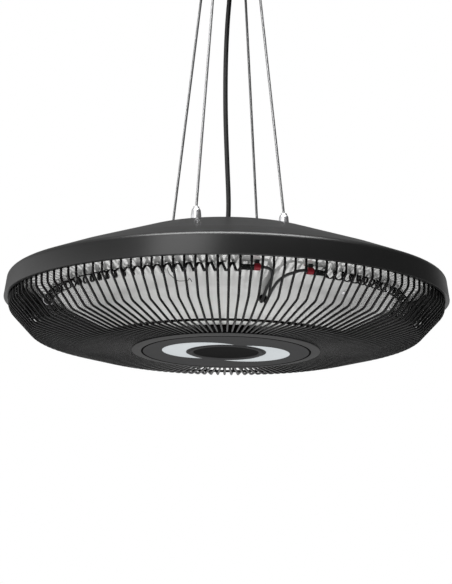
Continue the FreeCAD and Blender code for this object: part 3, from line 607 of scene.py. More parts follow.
@dataclass(frozen=True)
class SpunFinish(Finish):
    """Spun sheet, matt near the axis, polished outside a radius, with painted light paling its foot.

    Fields:
        polish: roughness of the polished zone.
        zone: radii between which the roughness changes, in metres.
        foot: metallic share near the axis.
        foot_zone: radii between which the metallic share changes, in metres.
        pale: factor on the colour at the foot, painted light where the drum and guard shade it.
        pale_zone: radii between which that painted light fades, in metres.
    """

    polish: float = 0.08
    zone: Pair = (0.205, 0.228)
    foot: float = 0.15
    foot_zone: Pair = (0.145, 0.195)
    pale: float = 1.42
    pale_zone: Pair = (0.127, 0.137)

    def gloss(self, shader: Shader, place: Value) -> Any:
        """Mean roughness at a place."""
        return shader.level(shader.axis_radius(place), self.roughness, self.polish, *self.zone)

    def bareness(self, shader: Shader, place: Value) -> Any:
        """Metallic share at a place."""
        return shader.level(shader.axis_radius(place), self.foot, self.metallic, *self.foot_zone)

    def shade(self, shader: Shader, place: Value, colour: Value) -> Value:
        """Colour at a place: the mottled colour, painted paler at the foot as painted light."""
        # Painted light: the colour is lifted towards the foot, where the drum and guard shade the cone.
        factor = shader.level(shader.axis_radius(place), self.pale, 1.0, *self.pale_zone)
        return shader.scaled(colour, factor)


@dataclass(frozen=True)
class ClearFinish(Finish):
    """Clear quartz: nearly invisible face on, glossy and pale at grazing angles.

    Fields:
        veil: cover face on and at grazing angles.
        falloff: power of the change between them.
        haze: cover that varies along the tube.
        index: refractive index.
    """

    veil: Pair = (0.01, 0.22)
    falloff: float = 6.0
    haze: float = 0.01
    index: float = 1.46

    def surface(self, shader: Shader, place: Value) -> Value:
        """The finish's surface.

        Args:
            shader: the tree.
            place: coordinates on the piece.

        Returns:
            The last shader.
        """
        facing = shader.out(shader.node("ShaderNodeLayerWeight", Blend=0.3), "Facing")
        mist = shader.noise(place, scale=60.0)
        return shader.principled(
            Base_Color=shader.shades(mist, tint(self.colour, 0.94), self.colour, NOISE_MIDDLE),
            Roughness=shader.level(mist, self.roughness, self.roughness * 2),
            Alpha=shader.level(facing ** self.falloff, *self.veil) + mist * self.haze, IOR=self.index)


@dataclass(frozen=True)
class OpalFinish(Finish):
    """Milky diffuser with a frosted face and a faint painted glow.

    Fields:
        glow: strength of a painted glow, a faint emission in the diffuser's own colour.
    """

    glow: float = 0.0

    def surface(self, shader: Shader, place: Value) -> Value:
        """The finish's surface.

        Args:
            shader: the tree.
            place: coordinates on the piece.

        Returns:
            The last shader.
        """
        cloud = shader.noise(place, scale=30.0, detail=4.0)
        frost = shader.noise(place, scale=1500.0, detail=2.0)
        colour = shader.shades(cloud, tint(self.colour, 0.97), tint(self.colour, 1.02), NOISE_MIDDLE)
        # Painted glow: a faint emission in the windows' own colour lightens them.
        return shader.principled(
            Base_Color=colour, Roughness=shader.level(frost, self.roughness * 0.9, self.roughness * 1.1),
            Emission_Color=colour, Emission_Strength=self.glow,
            Normal=shader.relief(frost, strength=0.3, distance=0.00002))


HOOD_PAINT = Finish("hood_paint", (0.0055, 0.0055, 0.0055), 0.42, grain_size=0.0009, mottle=0.10,
                    coat=0.35, coat_roughness=0.28, specular=0.06)
GUARD_PAINT = Finish("guard_paint", (0.002, 0.002, 0.002), 0.25, grain_size=0.0007, specular=0.085)
TRIM_PAINT = Finish("trim_paint", (0.034, 0.034, 0.034), 0.7, grain_size=0.0007, specular=0.08)
COVER_GRAIN = Finish("cover_plastic", (0.028, 0.028, 0.0285), 0.8, grain_size=0.0006, depth=0.00005,
                     specular=0.05)
SENSOR_DARK = Finish("sensor_plastic", (0.005, 0.005, 0.005), 0.7, grain=Grain.SMOOTH, specular=0.01)
# The opal windows carry a faint painted glow.
OPAL = OpalFinish("opal_plastic", (0.355, 0.376, 0.387), 0.6, glow=0.04)
SPUN_SHEET = SpunFinish("reflector_metal", (0.69, 0.69, 0.68), 0.24, metallic=0.7, grain=Grain.SPUN,
                        grain_size=0.0009, depth=0.000004, mottle=0.03)
ROPE_STEEL = Finish("rope_steel", (0.17, 0.17, 0.172), 0.42, metallic=1.0, grain=Grain.DRAWN,
                    grain_size=0.0004, depth=0.00001, mottle=0.2)
PLATED = Finish("grip_metal", (0.40, 0.40, 0.41), 0.40, metallic=1.0, grain=Grain.DRAWN, grain_size=0.0006,
                depth=0.000004, mottle=0.05)
ZINC = Finish("zinc_steel", (0.45, 0.45, 0.46), 0.42, metallic=1.0, grain=Grain.DRAWN, grain_size=0.0008,
              depth=0.00001, mottle=0.1)
CORD_RUBBER = Finish("cord_rubber", (0.004, 0.004, 0.004), 0.5, grain_size=0.0006, specular=0.25)
BLACK_PLASTIC = Finish("black_plastic", (0.012, 0.012, 0.0125), 0.5, grain_size=0.0008, specular=0.2)
COIL_ALLOY = Finish("coil_alloy", (0.003, 0.003, 0.003), 0.6, grain=Grain.DRAWN, grain_size=0.0005,
                    depth=0.00001, mottle=0.3, specular=0.04)
SEAL_RED = Finish("seal_red", (0.14, 0.003, 0.009), 0.45, grain_size=0.0006, specular=0.2)
SLEEVE = Finish("lead_sleeve", (0.018, 0.018, 0.0185), 0.5, grain=Grain.WOVEN, grain_size=0.0008,
                depth=0.0001, mottle=0.3, specular=0.2)
GROMMET_RUBBER = Finish("grommet_rubber", (0.004, 0.004, 0.004), 0.7, grain_size=0.0006, specular=0.0)
BOARD = Finish("board_green", (0.03, 0.16, 0.07), 0.4, grain_size=0.0012)
TERMINAL = Finish("terminal_white", (0.74, 0.73, 0.69), 0.45, grain_size=0.0008)
PHOSPHOR = Finish("lamp_phosphor", (0.80, 0.72, 0.30), 0.5, grain_size=0.0005)
QUARTZ = ClearFinish("quartz", (0.30, 0.30, 0.30), 0.04)


# Pieces


@dataclass
class Workshop:
    """Turns surfaces into pieces that ride on the frame's bodies."""

    frame: dict

    def piece(self, name: str, surface: Surface, finish: Finish, stands_for: Sequence[str] = (),
              body: str = Body.HEATER.value, crease: float = 32.0, merge: bool = True) -> bpy.types.Object:
        """Make a piece in the row frame.

        Args:
            name: the piece's name.
            surface: its surface, in millimetres in the heater's frame.
            finish: its finish.
            stands_for: CAD nodes that it replaces.
            body: the body that it rides on.
            crease: edges sharper than this angle stay sharp.
            merge: weld doubled points and turn faces outwards.

        Returns:
            The object.
        """
        mesh = bpy.data.meshes.new(name)
        mesh.from_pydata(in_row(surface.points).tolist(), [], surface.faces)
        if merge:
            work = bmesh.new()
            work.from_mesh(mesh)
            bmesh.ops.remove_doubles(work, verts=work.verts, dist=WELD)
            bmesh.ops.recalc_face_normals(work, faces=work.faces)
            work.to_mesh(mesh)
            work.free()
        mesh.polygons.foreach_set("use_smooth", [True] * len(mesh.polygons))
        mesh.set_sharp_from_angle(angle=math.radians(crease))
        mesh.materials.append(finish.material())
        made = bpy.data.objects.new(name, mesh)
        bpy.context.scene.collection.objects.link(made)
        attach(made, body)
        if stands_for:
            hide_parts(*stands_for)
        LOG.info("%s: %d faces", name, len(mesh.polygons))
        return made

    def dress(self, finish: Finish, *nodes: str) -> None:
        """Give CAD nodes that stay a finish.

        Args:
            finish: the finish.
            nodes: the nodes' names.
        """
        for name in nodes:
            held = self.frame["nodes"][name]
            held.data.materials.clear()
            held.data.materials.append(finish.material())
            LOG.info("%s keeps its solid", name)

    def declare_cord(self, piece: bpy.types.Object, line: np.ndarray, diameter: float, stiffness: str,
                     lay: str) -> np.ndarray:
        """A cord's centre line in the row frame.

        Args:
            piece: the cord's mesh; not used.
            line: its centre line, in millimetres.
            diameter: its diameter, in millimetres; not used.
            stiffness: how stiff it is; not used.
            lay: how it lies; not used.

        Returns:
            The centre line in the row frame.
        """
        places = in_row(line)
        return places


# Sub-assemblies


@dataclass
class Suspension:
    """Ropes, cord, grips and the ceiling canopy.

    Profiles of the grips and the gland have their heights above the crown, those of the cup and the bushes
    above the canopy's floor.
    """

    shop: Workshop
    rope_radius: float = 1.85
    strand_radius: float = 0.67
    strand_count: int = 6
    strand_sides: int = 5
    strand_lay: float = 11.0
    strand_lead: Pair = (0.6, 0.8)
    core_radius: float = 1.0175
    core_sides: int = 6
    core_stride: int = 40
    rope_foot: Pair = (87.8, 102.5)
    rope_top: Pair = (44.0, 448.5)
    rope_shares: tuple[float, ...] = (0.0, 0.4, 0.7, 1.0)
    rope_steps: int = 130
    rope_bearings: tuple[float, ...] = (-29.0, 61.0, 151.0, 241.0)
    travel: float = 150.0
    cord_radius: float = 3.25
    cord_sides: int = 20
    cord_steps: int = 16
    cord_route: Route = ((0.7, 0, 115), (1.9, 0, 130), (-1.5, 0, 196), (-4.5, 0, 262), (-5.2, 0, 330),
                         (-3.4, 0, 392), (0, 0, 436), (0, 0, 457))
    crown: float = 91.0
    grip_circle: float = 86.5
    grip_profile: Profile = ((0, 0, 0), (7.0, 0, 0), (7.0, 11.0, 14.0), (6.2, 18.0, 3.0), (5.0, 20.5, 0.5),
                             (4.55, 20.5, 0.2), (4.55, 11.5, 0), (0, 11.5, 0))
    stud_profile: Profile = ((0, -10.8, 0), (4, -10.8, 0.6), (4, 0.4, 0), (0, 0.4, 0))
    collar_profile: Profile = ((3.2, 15.3, 0), (4.2, 15.3, 0.3), (4.2, 23.3, 0.9), (3.2, 23.3, 0.09))
    gland_foot: tuple[Pair, ...] = ((11.0, 0), (11.5, 0.8), (11.5, 6.2), (11.0, 7))
    gland_profile: Profile = ((0, 7, 0), (9, 7, 0.4), (9, 13, 1.6), (6.2, 15.5, 0.6), (4.3, 24, 0.4),
                              (0, 24, 0))
    canopy_floor: float = 447.0
    cup_profile: Profile = ((0, 0, 0), (56, 0, 5), (56, 25, 0.4), (54.5, 25, 0.4), (54.5, 1.5, 3.5),
                            (0, 1.5, 0))
    bush_circle: float = 44.15
    bush_profile: Profile = ((2.2, -1.2, 0.3), (4.4, -1.2, 0.8), (4.4, 0.2, 0), (2.2, 0.2, 0))

    def ropes(self) -> None:
        """Twisted ropes: strands on helices round the straight line from grip to canopy."""
        for number, bearing in enumerate(self.rope_bearings, 1):
            foot, top = (polar(r, bearing, h) for r, h in (self.rope_foot, self.rope_top))
            route = [foot * (1 - share) + top * share for share in self.rope_shares]
            line = spline_points(route, self.rope_steps)
            run = np.linalg.norm(line - line[0], axis=1)
            side = polar(1.0, bearing + 90, 0.0)
            out = np.cross(side, (top - foot) / np.linalg.norm(top - foot))
            lead = side * self.strand_lead[0] + out * self.strand_lead[1]
            reach = self.rope_radius - self.strand_radius
            parts = []
            for strand in range(self.strand_count):
                phase = 2 * math.pi * (run / self.strand_lay + strand / self.strand_count)
                path = line + reach * (np.cos(phase)[:, None] * side + np.sin(phase)[:, None] * out)
                parts.append(swept(path, circle(self.strand_radius, self.strand_sides), lead))
            parts.append(swept(line[::self.core_stride], circle(self.core_radius, self.core_sides), side))
            rope = self.shop.piece(f"rope_{number}", joined(parts), ROPE_STEEL, [f"steel_rope_{number}"],
                                   Body.CEILING.value, crease=80.0, merge=False)
            self.hang(rope, line, 2 * self.rope_radius, "stiff")

    def cord(self) -> None:
        """Mains cord: a round section along the route's smooth curve."""
        line = spline_points(self.cord_route, self.cord_steps)
        cord = self.shop.piece("mains_cord", swept(line, circle(self.cord_radius, self.cord_sides), AWAY),
                               CORD_RUBBER, ["power_cord"], Body.CEILING.value)
        self.hang(cord, line, 2 * self.cord_radius, "medium")

    def hang(self, piece: bpy.types.Object, line: np.ndarray, diameter: float, stiffness: str) -> None:
        """Take a taut cord's centre line to the row frame and give the piece a mesh of its own.

        Args:
            piece: the cord's mesh.
            line: its centre line, in millimetres.
            diameter: its diameter, in millimetres.
            stiffness: how stiff it is.
        """
        places = self.shop.declare_cord(piece, line, diameter, stiffness, "taut")
        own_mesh(piece)

    def grips(self) -> None:
        """Plated grips with rounded shoulders, and a collar in each."""
        at = Matrix.Translation((self.grip_circle, 0, 0))
        body = turned_solid(lifted(self.grip_profile, self.crown), steps=6, segments=40)
        stud = turned_solid(lifted(self.stud_profile, self.crown), steps=2, segments=20)
        grips = copies(joined([body, stud]).moved(at), self.rope_bearings)
        self.shop.piece("rope_grips", grips, PLATED, ["grip_bodies"])
        ring = turned(lifted(self.collar_profile, self.crown), steps=4, segments=32).moved(at)
        for number, bearing in enumerate(self.rope_bearings, 1):
            self.shop.piece(f"release_collar_{number}", copies(ring, [bearing]), PLATED,
                            [f"grip_collar_{number}"], f"{Body.COLLAR.value}{number}")

    def gland(self) -> None:
        """Cord gland: six-sided foot, rounded cap and a tapered nose round the cord."""
        corners = self.rope_bearings[0] + 30 + 60 * np.arange(6)
        foot = grid(np.stack([polar(reach, corners, self.crown + rise) for reach, rise in self.gland_foot]))
        cap = turned_solid(lifted(self.gland_profile, self.crown), steps=4, segments=48)
        self.shop.piece("cord_boot", joined([foot, cap]), BLACK_PLASTIC, ["cord_gland"])

    def canopy(self) -> None:
        """Canopy cup with a rolled edge, rope bushes in its floor, and finishes of the ceiling end."""
        cup = turned_solid(lifted(self.cup_profile, self.canopy_floor), steps=6, segments=128)
        self.shop.piece("cup", cup, HOOD_PAINT, ["canopy_cup"], Body.CEILING.value)
        bush = turned(lifted(self.bush_profile, self.canopy_floor), steps=3, segments=28)
        bushes = copies(bush.moved(Matrix.Translation((self.bush_circle, 0, 0))), self.rope_bearings)
        self.shop.piece("rope_bushes", bushes, PLATED, body=Body.CEILING.value)
        self.shop.dress(HOOD_PAINT, "ceiling_plate")
        self.shop.dress(CORD_RUBBER, "cord_bush")
        self.shop.dress(TERMINAL, "canopy_terminals")
        self.shop.dress(ROPE_STEEL, "rope_ferrules")


@dataclass
class Hood:
    """Spun dome and the hidden pieces under its flat top."""

    shop: Workshop
    rim: float = 301.0
    lip: float = 6.0
    lip_arc: float = 0.5
    wall: float = 1.5
    shoulder: Pair = (296.4, 30.2)
    waist: Pair = (240.0, 51.2)
    crown: Pair = (121.23, 91.0)
    bore: float = 6.8
    arcs: tuple[float, ...] = (0.9, 9.0, 150.0, 70.0, 0.0)
    least_arc: float = 0.3

    def dome(self) -> None:
        """Dome: one sheet's outline, outer and inner faces a wall apart, turned round the axis."""
        outer = np.array([(self.rim, 0), self.shoulder, self.waist, self.crown, (self.bore, self.crown[1])])
        inner = inset(outer, self.wall)
        share = (self.wall - inner[0, 1]) / (inner[1, 1] - inner[0, 1])
        inner[0] += share * (inner[1] - inner[0])
        sheet = [(*point, arc) for point, arc in zip(outer, self.arcs)]
        lining = [(*point, max(self.least_arc, arc - self.wall) if arc else 0.0)
                  for point, arc in zip(inner, self.arcs)]
        edge = self.rim - self.lip
        outline = [(edge, 0, self.lip_arc), *sheet, *lining[::-1], (edge, self.wall, self.lip_arc)]
        self.shop.piece("dome", turned(outline, steps=8, segments=288), HOOD_PAINT, ["top_housing"])

    def inside(self) -> None:
        """Finishes of the pieces inside the hood."""
        self.shop.dress(ZINC, "chassis_plate", "grip_nuts", "gland_nut", "reflector_posts")
        self.shop.dress(BLACK_PLASTIC, "control_box", "power_relay", "lamp_driver")
        self.shop.dress(BOARD, "control_board")
        self.shop.dress(TERMINAL, "mains_terminals")


@dataclass
class Element:
    """Reflector cone, quartz tube, coil, seals, clips and leads.

    Profiles of the screw heads and the lead bush stand on the cone's lower face.
    """

    shop: Workshop
    flange: float = 80.0
    foot: Pair = (121.0, -54.0)
    foot_arcs: Pair = (1.5, 1.0)
    foot_shift: float = 0.24
    top_radius: float = 279.0
    edge_arc: float = 0.3
    slope: float = 26.6
    sheet: float = 1.0
    head_profile: Profile = ((0, 0, 0), (3.4, 0, 0), (3.4, 0.7, 0.3), (2.2, 1.8, 0.8), (0, 1.8, 0))
    post_radius: float = 203.0
    post_bearings: tuple[float, ...] = (-41.0, 79.0, 199.0)
    ring: float = 240.0
    drop: float = 2.8
    tube: float = 6.8
    bore: float = 6.2
    tube_start: float = -62.8
    tube_sweep: float = 341.0
    tube_steps: int = 240
    tube_sides: int = 18
    coil: float = 5.5
    strip: Pair = (1.2, 3.4)
    turns: int = 100
    turn_steps: int = 12
    coil_tail: float = 4.0
    tail_lap: float = 0.4
    tail_radius: float = 3.9
    tail_steps: int = 8
    tail_sides: int = 12
    seal: float = 4.9
    seal_sweep: float = 2.0
    seal_lift: float = 0.8
    seal_sides: int = 24
    seal_rows: tuple[Pair, ...] = ((0.0, 0.86), (0.04, 0.95), (0.3, 0.95), (0.34, 1.0), (0.66, 1.0),
                                   (0.70, 0.95), (0.96, 0.95), (1.0, 0.86))
    clip_bearing: float = -102.7
    clip_count: int = 5
    clip_steps: int = 12
    clip_gap: float = 0.9
    clip_clear: float = 0.4
    clip_wire: float = 0.55
    tie_wire: float = 0.42
    wire_sides: int = 6
    tie_lead: Point = (0.2, 1.0, 0.3)
    tie_steps: int = 8
    tie_bends: Route = ((-76, -214, -1), (-74.6, -220, -8), (-70, -223, -13), (-63, -223, -19),
                        (-56, -222, -18.4), (-49, -222, -17.8), (-47.3, -223, -13.8), (-44.5, -222, -19.6))
    grommet_radius: float = 174.0
    grommet_bearing: float = -74.7
    grommet_height: float = 3.0
    grommet_profile: Profile = ((0, 0, 0), (6.2, 0, 0), (6.2, 1.6, 0.7), (4.9, 3, 0.6), (0, 3, 0))
    lead: float = 2.0
    lead_sides: int = 14
    lead_steps: int = 14
    lead_stand: float = 8.0
    lead_spread: float = 2.6
    lead_side: Point = (0.6, -0.3, 0.6)
    left_bends: Route = ((57, -230, -5), (58, -215, -10), (53, -200, -18), (48, -187, -28))
    right_bends: Route = ((86, -224, -6), (75, -221, -9), (65, -211, -15), (59, -198, -22), (54, -186, -30))

    def cone_under(self, radius: float) -> float:
        """Height of the cone's lower face."""
        return self.foot[1] + (radius - self.foot[0]) * math.tan(math.radians(self.slope))

    def on_cone(self, radius: float, bearing: float) -> Matrix:
        """A frame on the cone's lower face with its Z axis facing away from the sheet.

        Args:
            radius: its distance from the heater's axis.
            bearing: its bearing, in degrees.

        Returns:
            The frame.
        """
        spot = Vector((radius, 0, self.cone_under(radius)))
        return (Matrix.Rotation(math.radians(bearing), 4, "Z") @ Matrix.Translation(spot)
                @ Matrix.Rotation(math.radians(180 - self.slope), 4, "Y"))

    def ring_line(self, start: float, sweep: float, count: int) -> np.ndarray:
        """Points on the element's centre line."""
        return polar(self.ring, start + sweep * np.linspace(0, 1, count), -self.drop)

    def reflector(self) -> None:
        """Cone: sheet outline turned round the axis, with a foot flange, and the heads of its screws."""
        rise = self.sheet / math.cos(math.radians(self.slope))
        low, high = self.foot[1], self.cone_under(self.top_radius)
        under, over = self.foot_arcs
        outline = [(self.flange, low, 0), (*self.foot, under), (self.top_radius, high, self.edge_arc),
                   (self.top_radius, high + rise, self.edge_arc),
                   (self.foot[0] - self.foot_shift, low + self.sheet, over),
                   (self.flange, low + self.sheet, 0)]
        self.shop.piece("cone", turned(outline, steps=4, segments=288), SPUN_SHEET, ["reflector"])
        head = turned_solid(self.head_profile, steps=4, segments=28)
        heads = joined(head.moved(self.on_cone(self.post_radius, b)) for b in self.post_bearings)
        self.shop.piece("cone_screws", heads, ZINC, ["reflector_screws"])

    def quartz(self) -> None:
        """Tube: round outer and inner walls carried along the ring, with rims between them at both ends."""
        line = self.ring_line(self.tube_start, self.tube_sweep, self.tube_steps)
        walls = [swept(line, circle(radius, self.tube_sides), UP) for radius in (self.tube, self.bore)]
        tube = joined(Surface(wall.points, wall.faces[:-2]) for wall in walls)
        inner = len(walls[0].points)
        corner = np.arange(self.tube_sides)
        after = np.roll(corner, -1)
        rims = [np.stack([corner, after, inner + after, inner + corner], axis=1) + base
                for base in (0, inner - self.tube_sides)]
        faces = tube.faces + [tuple(face) for face in np.concatenate(rims).tolist()]
        self.shop.piece("glass_ring", Surface(tube.points, faces), QUARTZ, ["quartz_tube"], crease=60)

    def heating_coil(self) -> None:
        """Coil: a flat strip along (R + r cos p, r sin p) round the ring, p running once round in a turn."""
        count = self.turns * self.turn_steps + 1
        phase = np.linspace(0, 2 * math.pi * self.turns, count)
        sweep = self.tube_sweep - 2 * self.coil_tail
        bearing = self.tube_start + self.coil_tail + sweep * np.linspace(0, 1, count)
        path = polar(self.ring + self.coil * np.cos(phase), bearing, self.coil * np.sin(phase) - self.drop)
        radial = polar(np.cos(phase), bearing, np.sin(phase))
        strip = swept(path, SQUARE * np.array(self.strip) / 2, radial)
        reach = self.coil_tail + self.tail_lap
        bar = circle(self.tail_radius, self.tail_sides)
        tails = [swept(self.ring_line(start, way, self.tail_steps), bar, UP)
                 for start, way in ((self.tube_start, reach), (self.tube_start + self.tube_sweep, -reach))]
        self.shop.piece("coil", joined([strip, *tails]), COIL_ALLOY, ["heating_coil"], crease=50)

    def seals(self) -> None:
        """End seals: a red cap with a raised collar on each end of the tube."""
        share, reach = np.array(self.seal_rows).T
        section = circle(1.0, self.seal_sides)[None] * (reach * self.seal)[:, None, None]
        for name, start in (("right_seal", self.tube_start - self.seal_sweep),
                            ("left_seal", self.tube_start + self.tube_sweep)):
            line = polar(self.ring, start + self.seal_sweep * share, self.seal_lift - self.drop)
            self.shop.piece(f"{name}_cap", swept(line, section, UP), SEAL_RED, [name])

    def clips(self) -> None:
        """Wire clips: a thin wire from the cone down, round the tube and back up; and a bent tie wire."""
        reach = self.tube + self.clip_gap
        angles = np.radians(np.linspace(0, -180, self.clip_steps + 1))
        bowl = np.stack([self.ring + reach * np.cos(angles), reach * np.sin(angles) - self.drop], axis=1)
        far, near = ([(radius, self.cone_under(radius) - self.clip_clear)]
                     for radius in (self.ring + reach, self.ring - reach))
        path = upright(np.concatenate([far, bowl, near]))
        clip = swept(path, circle(self.clip_wire, self.wire_sides), AWAY)
        bearings = [self.clip_bearing + 360 * k / self.clip_count for k in range(self.clip_count)]
        self.shop.piece("wire_clips", copies(clip, bearings), ZINC, ["tube_clips"], crease=80)
        path = spline_points(self.tie_bends, self.tie_steps)
        tie = swept(path, circle(self.tie_wire, self.wire_sides), np.array(self.tie_lead))
        self.shop.piece("tie_wire", tie, COIL_ALLOY, crease=80)
        self.shop.dress(BLACK_PLASTIC, "left_bracket", "right_bracket")

    def leads(self) -> None:
        """Sleeved leads: a round section along each route's smooth curve, into a bush on the cone."""
        at = self.on_cone(self.grommet_radius, self.grommet_bearing)
        bush = turned_solid(self.grommet_profile, steps=4, segments=32)
        self.shop.piece("lead_bush", bush.moved(at), GROMMET_RUBBER, ["lead_grommet"])
        out = at.to_3x3() @ Vector((0, 0, 1))
        mouth = at @ Vector((0, 0, self.grommet_height))
        aside = Vector(polar(self.lead_spread, self.grommet_bearing + 90, 0.0))
        section = circle(self.lead, self.lead_sides)
        for name, bends, bearing, way in (
                ("left_lead", self.left_bends, self.tube_start + self.tube_sweep + self.seal_sweep, 1),
                ("right_lead", self.right_bends, self.tube_start - self.seal_sweep, -1)):
            start = Vector(polar(self.ring, bearing, self.seal_lift - self.drop))
            straight = start + Vector(polar(self.lead_stand, bearing + 90, 0.0)) * way
            last = mouth - aside * way
            route = (start, straight, *bends, last + out * self.lead_stand, last)
            line = spline_points(route, self.lead_steps)
            sleeve = swept(line, section, np.array(self.lead_side))
            piece = self.shop.piece(f"{name}_sleeve", sleeve, SLEEVE, [name], crease=60)
            self.shop.declare_cord(piece, line, 2 * self.lead, "stiff", "hanging")


@dataclass
class Guard:
    """Bent wires between the rim and the lamp drum, with their rings."""

    shop: Workshop
    count: int = 130
    wire: float = 1.7
    wire_sides: int = 6
    bearing: float = -89.5
    rim_radius: float = 293.0
    rim_height: float = 1.5
    rim_bend: float = -12.9
    rim_arc: float = 10.0
    knee: Pair = (262.6, -45.9)
    knee_arc: float = 14.0
    bend: Pair = (195.0, -64.2)
    bend_arc: float = 60.0
    hub: Pair = (120.0, -65.0)
    ring_profile: Profile = ((289, 1.5, 0.4), (298.2, 1.5, 0.4), (298.2, 3.5, 0.4), (289, 3.5, 0.4))
    hoop_radius: float = 187.0
    hoop_wire: float = 1.7
    hoop_sides: int = 10

    def wires(self) -> None:
        """Wires: a round section along one bent line, repeated round the axis."""
        bends = [(self.rim_radius, self.rim_height, 0), (self.rim_radius, self.rim_bend, self.rim_arc),
                 (*self.knee, self.knee_arc), (*self.bend, self.bend_arc), (*self.hub, 0)]
        line = upright(rounded(bends, steps=3, closed=False))
        wire = swept(line, circle(self.wire, self.wire_sides), AWAY)
        bearings = self.bearing + 360 * np.arange(self.count) / self.count
        self.shop.piece("guard_wires", copies(wire, bearings), GUARD_PAINT, ["guard_spokes"], crease=70)

    def rings(self) -> None:
        """Rim ring in the hood's lip, and the hoop that lies on the wires."""
        rim = turned(self.ring_profile, steps=3, segments=192)
        self.shop.piece("rim_ring", rim, GUARD_PAINT, ["guard_rim_ring"])
        wire_height = float(np.interp(self.hoop_radius, *zip(self.hub, self.bend)))
        centre = (self.hoop_radius, wire_height + self.wire + self.hoop_wire)
        hoop = lathe(circle(self.hoop_wire, self.hoop_sides) + centre, segments=192)
        self.shop.piece("wire_hoop", hoop, GUARD_PAINT, ["guard_hoop"])


@dataclass
class LampDrum:
    """Drum in the middle of the guard: trim ring, cover, light windows and sensor.

    Profiles of the sensor's ring and lens have their heights above the cover's lower face.
    """

    shop: Workshop
    drum: float = 120.0
    wall: float = 1.5
    top: float = -54.0
    trim_top: float = -66.5
    under: float = -68.6
    trim: Pair = (114.6, 127.0)
    trim_edge: float = 0.8
    # Painted shade: a black ring fills the groove between cover plate and trim ring, where shade falls.
    groove_shadow: Point = (112.0, 113.45, 114.5)
    groove_shadow_lip: float = 0.15
    groove_shadow_arc: float = 0.05
    sensor_profile: Profile = ((44, 0, 0), (45.2, -1.2, 0.5), (49.5, -2.0, 1.0), (51, 0, 0.2))
    lens: float = 47.0
    lens_profile: Profile = ((0, 0.6, 0), (44.0, 0.2, 0.8), (47, 0, 0))

    def shell(self) -> None:
        """Drum, a shallow cup open below, with its bevelled ring and a black ring inside it as painted shade.
        """
        bore, floor = self.drum - self.wall, self.top - self.wall
        cup = [(0, floor, 0), (bore, floor, 0.8), (bore, self.trim_top, 0.3),
               (self.drum, self.trim_top, 0.3), (self.drum, self.top, 1.6), (0, self.top, 0)]
        self.shop.piece("drum_shell", turned_solid(cup, steps=4, segments=192), GUARD_PAINT, ["lamp_drum"])
        near, far = self.trim
        bevel = [(near, self.trim_top, 0.2), (near, self.under, 0.3),
                 (far, self.trim_top - self.trim_edge, 0.35), (far, self.trim_top, 0.3)]
        self.shop.piece("bevel_ring", turned(bevel, steps=4, segments=224), TRIM_PAINT, ["trim_ring"])
        # Painted shade: a black ring fills the shaded groove inside the trim ring.
        tip, stem, back = self.groove_shadow
        lip, arc = self.under - self.groove_shadow_lip, self.groove_shadow_arc
        seal = [(tip, self.under, 0), (tip, lip, arc), (back, lip, arc), (back, self.trim_top, 0),
                (stem, self.trim_top, 0), (stem, self.under, 0)]
        self.shop.piece("groove_shadow_ring", turned(seal, steps=2, segments=192), GROMMET_RUBBER)

    def cover(self) -> None:
        """Cover plate, opal windows, sensor ring and window, and the lamps behind them."""
        self.shop.dress(COVER_GRAIN, "cover_plate")
        self.shop.dress(OPAL, "light_windows")
        ring = turned(lifted(self.sensor_profile, self.under), steps=4, segments=160)
        self.shop.piece("sensor_ring", ring, COVER_GRAIN, ["sensor_bezel"])
        window = [*lifted(self.lens_profile, self.under), (self.lens, self.trim_top, 0),
                  (0, self.trim_top, 0)]
        lens = turned_solid(window, steps=4, segments=128)
        self.shop.piece("sensor_lens", lens, SENSOR_DARK, ["sensor_window"])
        self.shop.dress(BLACK_PLASTIC, "signal_receiver")
        self.shop.dress(BOARD, "lamp_boards")
        self.shop.dress(PHOSPHOR, "lamp_chips")


# Light and camera


@dataclass(frozen=True)
class Lamp:
    """A soft rectangular lamp.

    Fields:
        name: its name.
        place: where it stands, in metres.
        size: its width and height, in metres.
        power: its power, in watts.
    """

    name: str
    place: Point
    size: Pair
    power: float

    def put(self, aim: Vector) -> None:
        """Put the lamp into the scene.

        Args:
            aim: the point that it faces.
        """
        light = bpy.data.lights.new(self.name, "AREA")
        light.shape = "RECTANGLE"
        light.size, light.size_y = self.size
        light.energy = self.power
        made = bpy.data.objects.new(self.name, light)
        made.location = self.place
        made.rotation_euler = (aim - Vector(self.place)).to_track_quat("-Z", "Y").to_euler()
        bpy.context.scene.collection.objects.link(made)


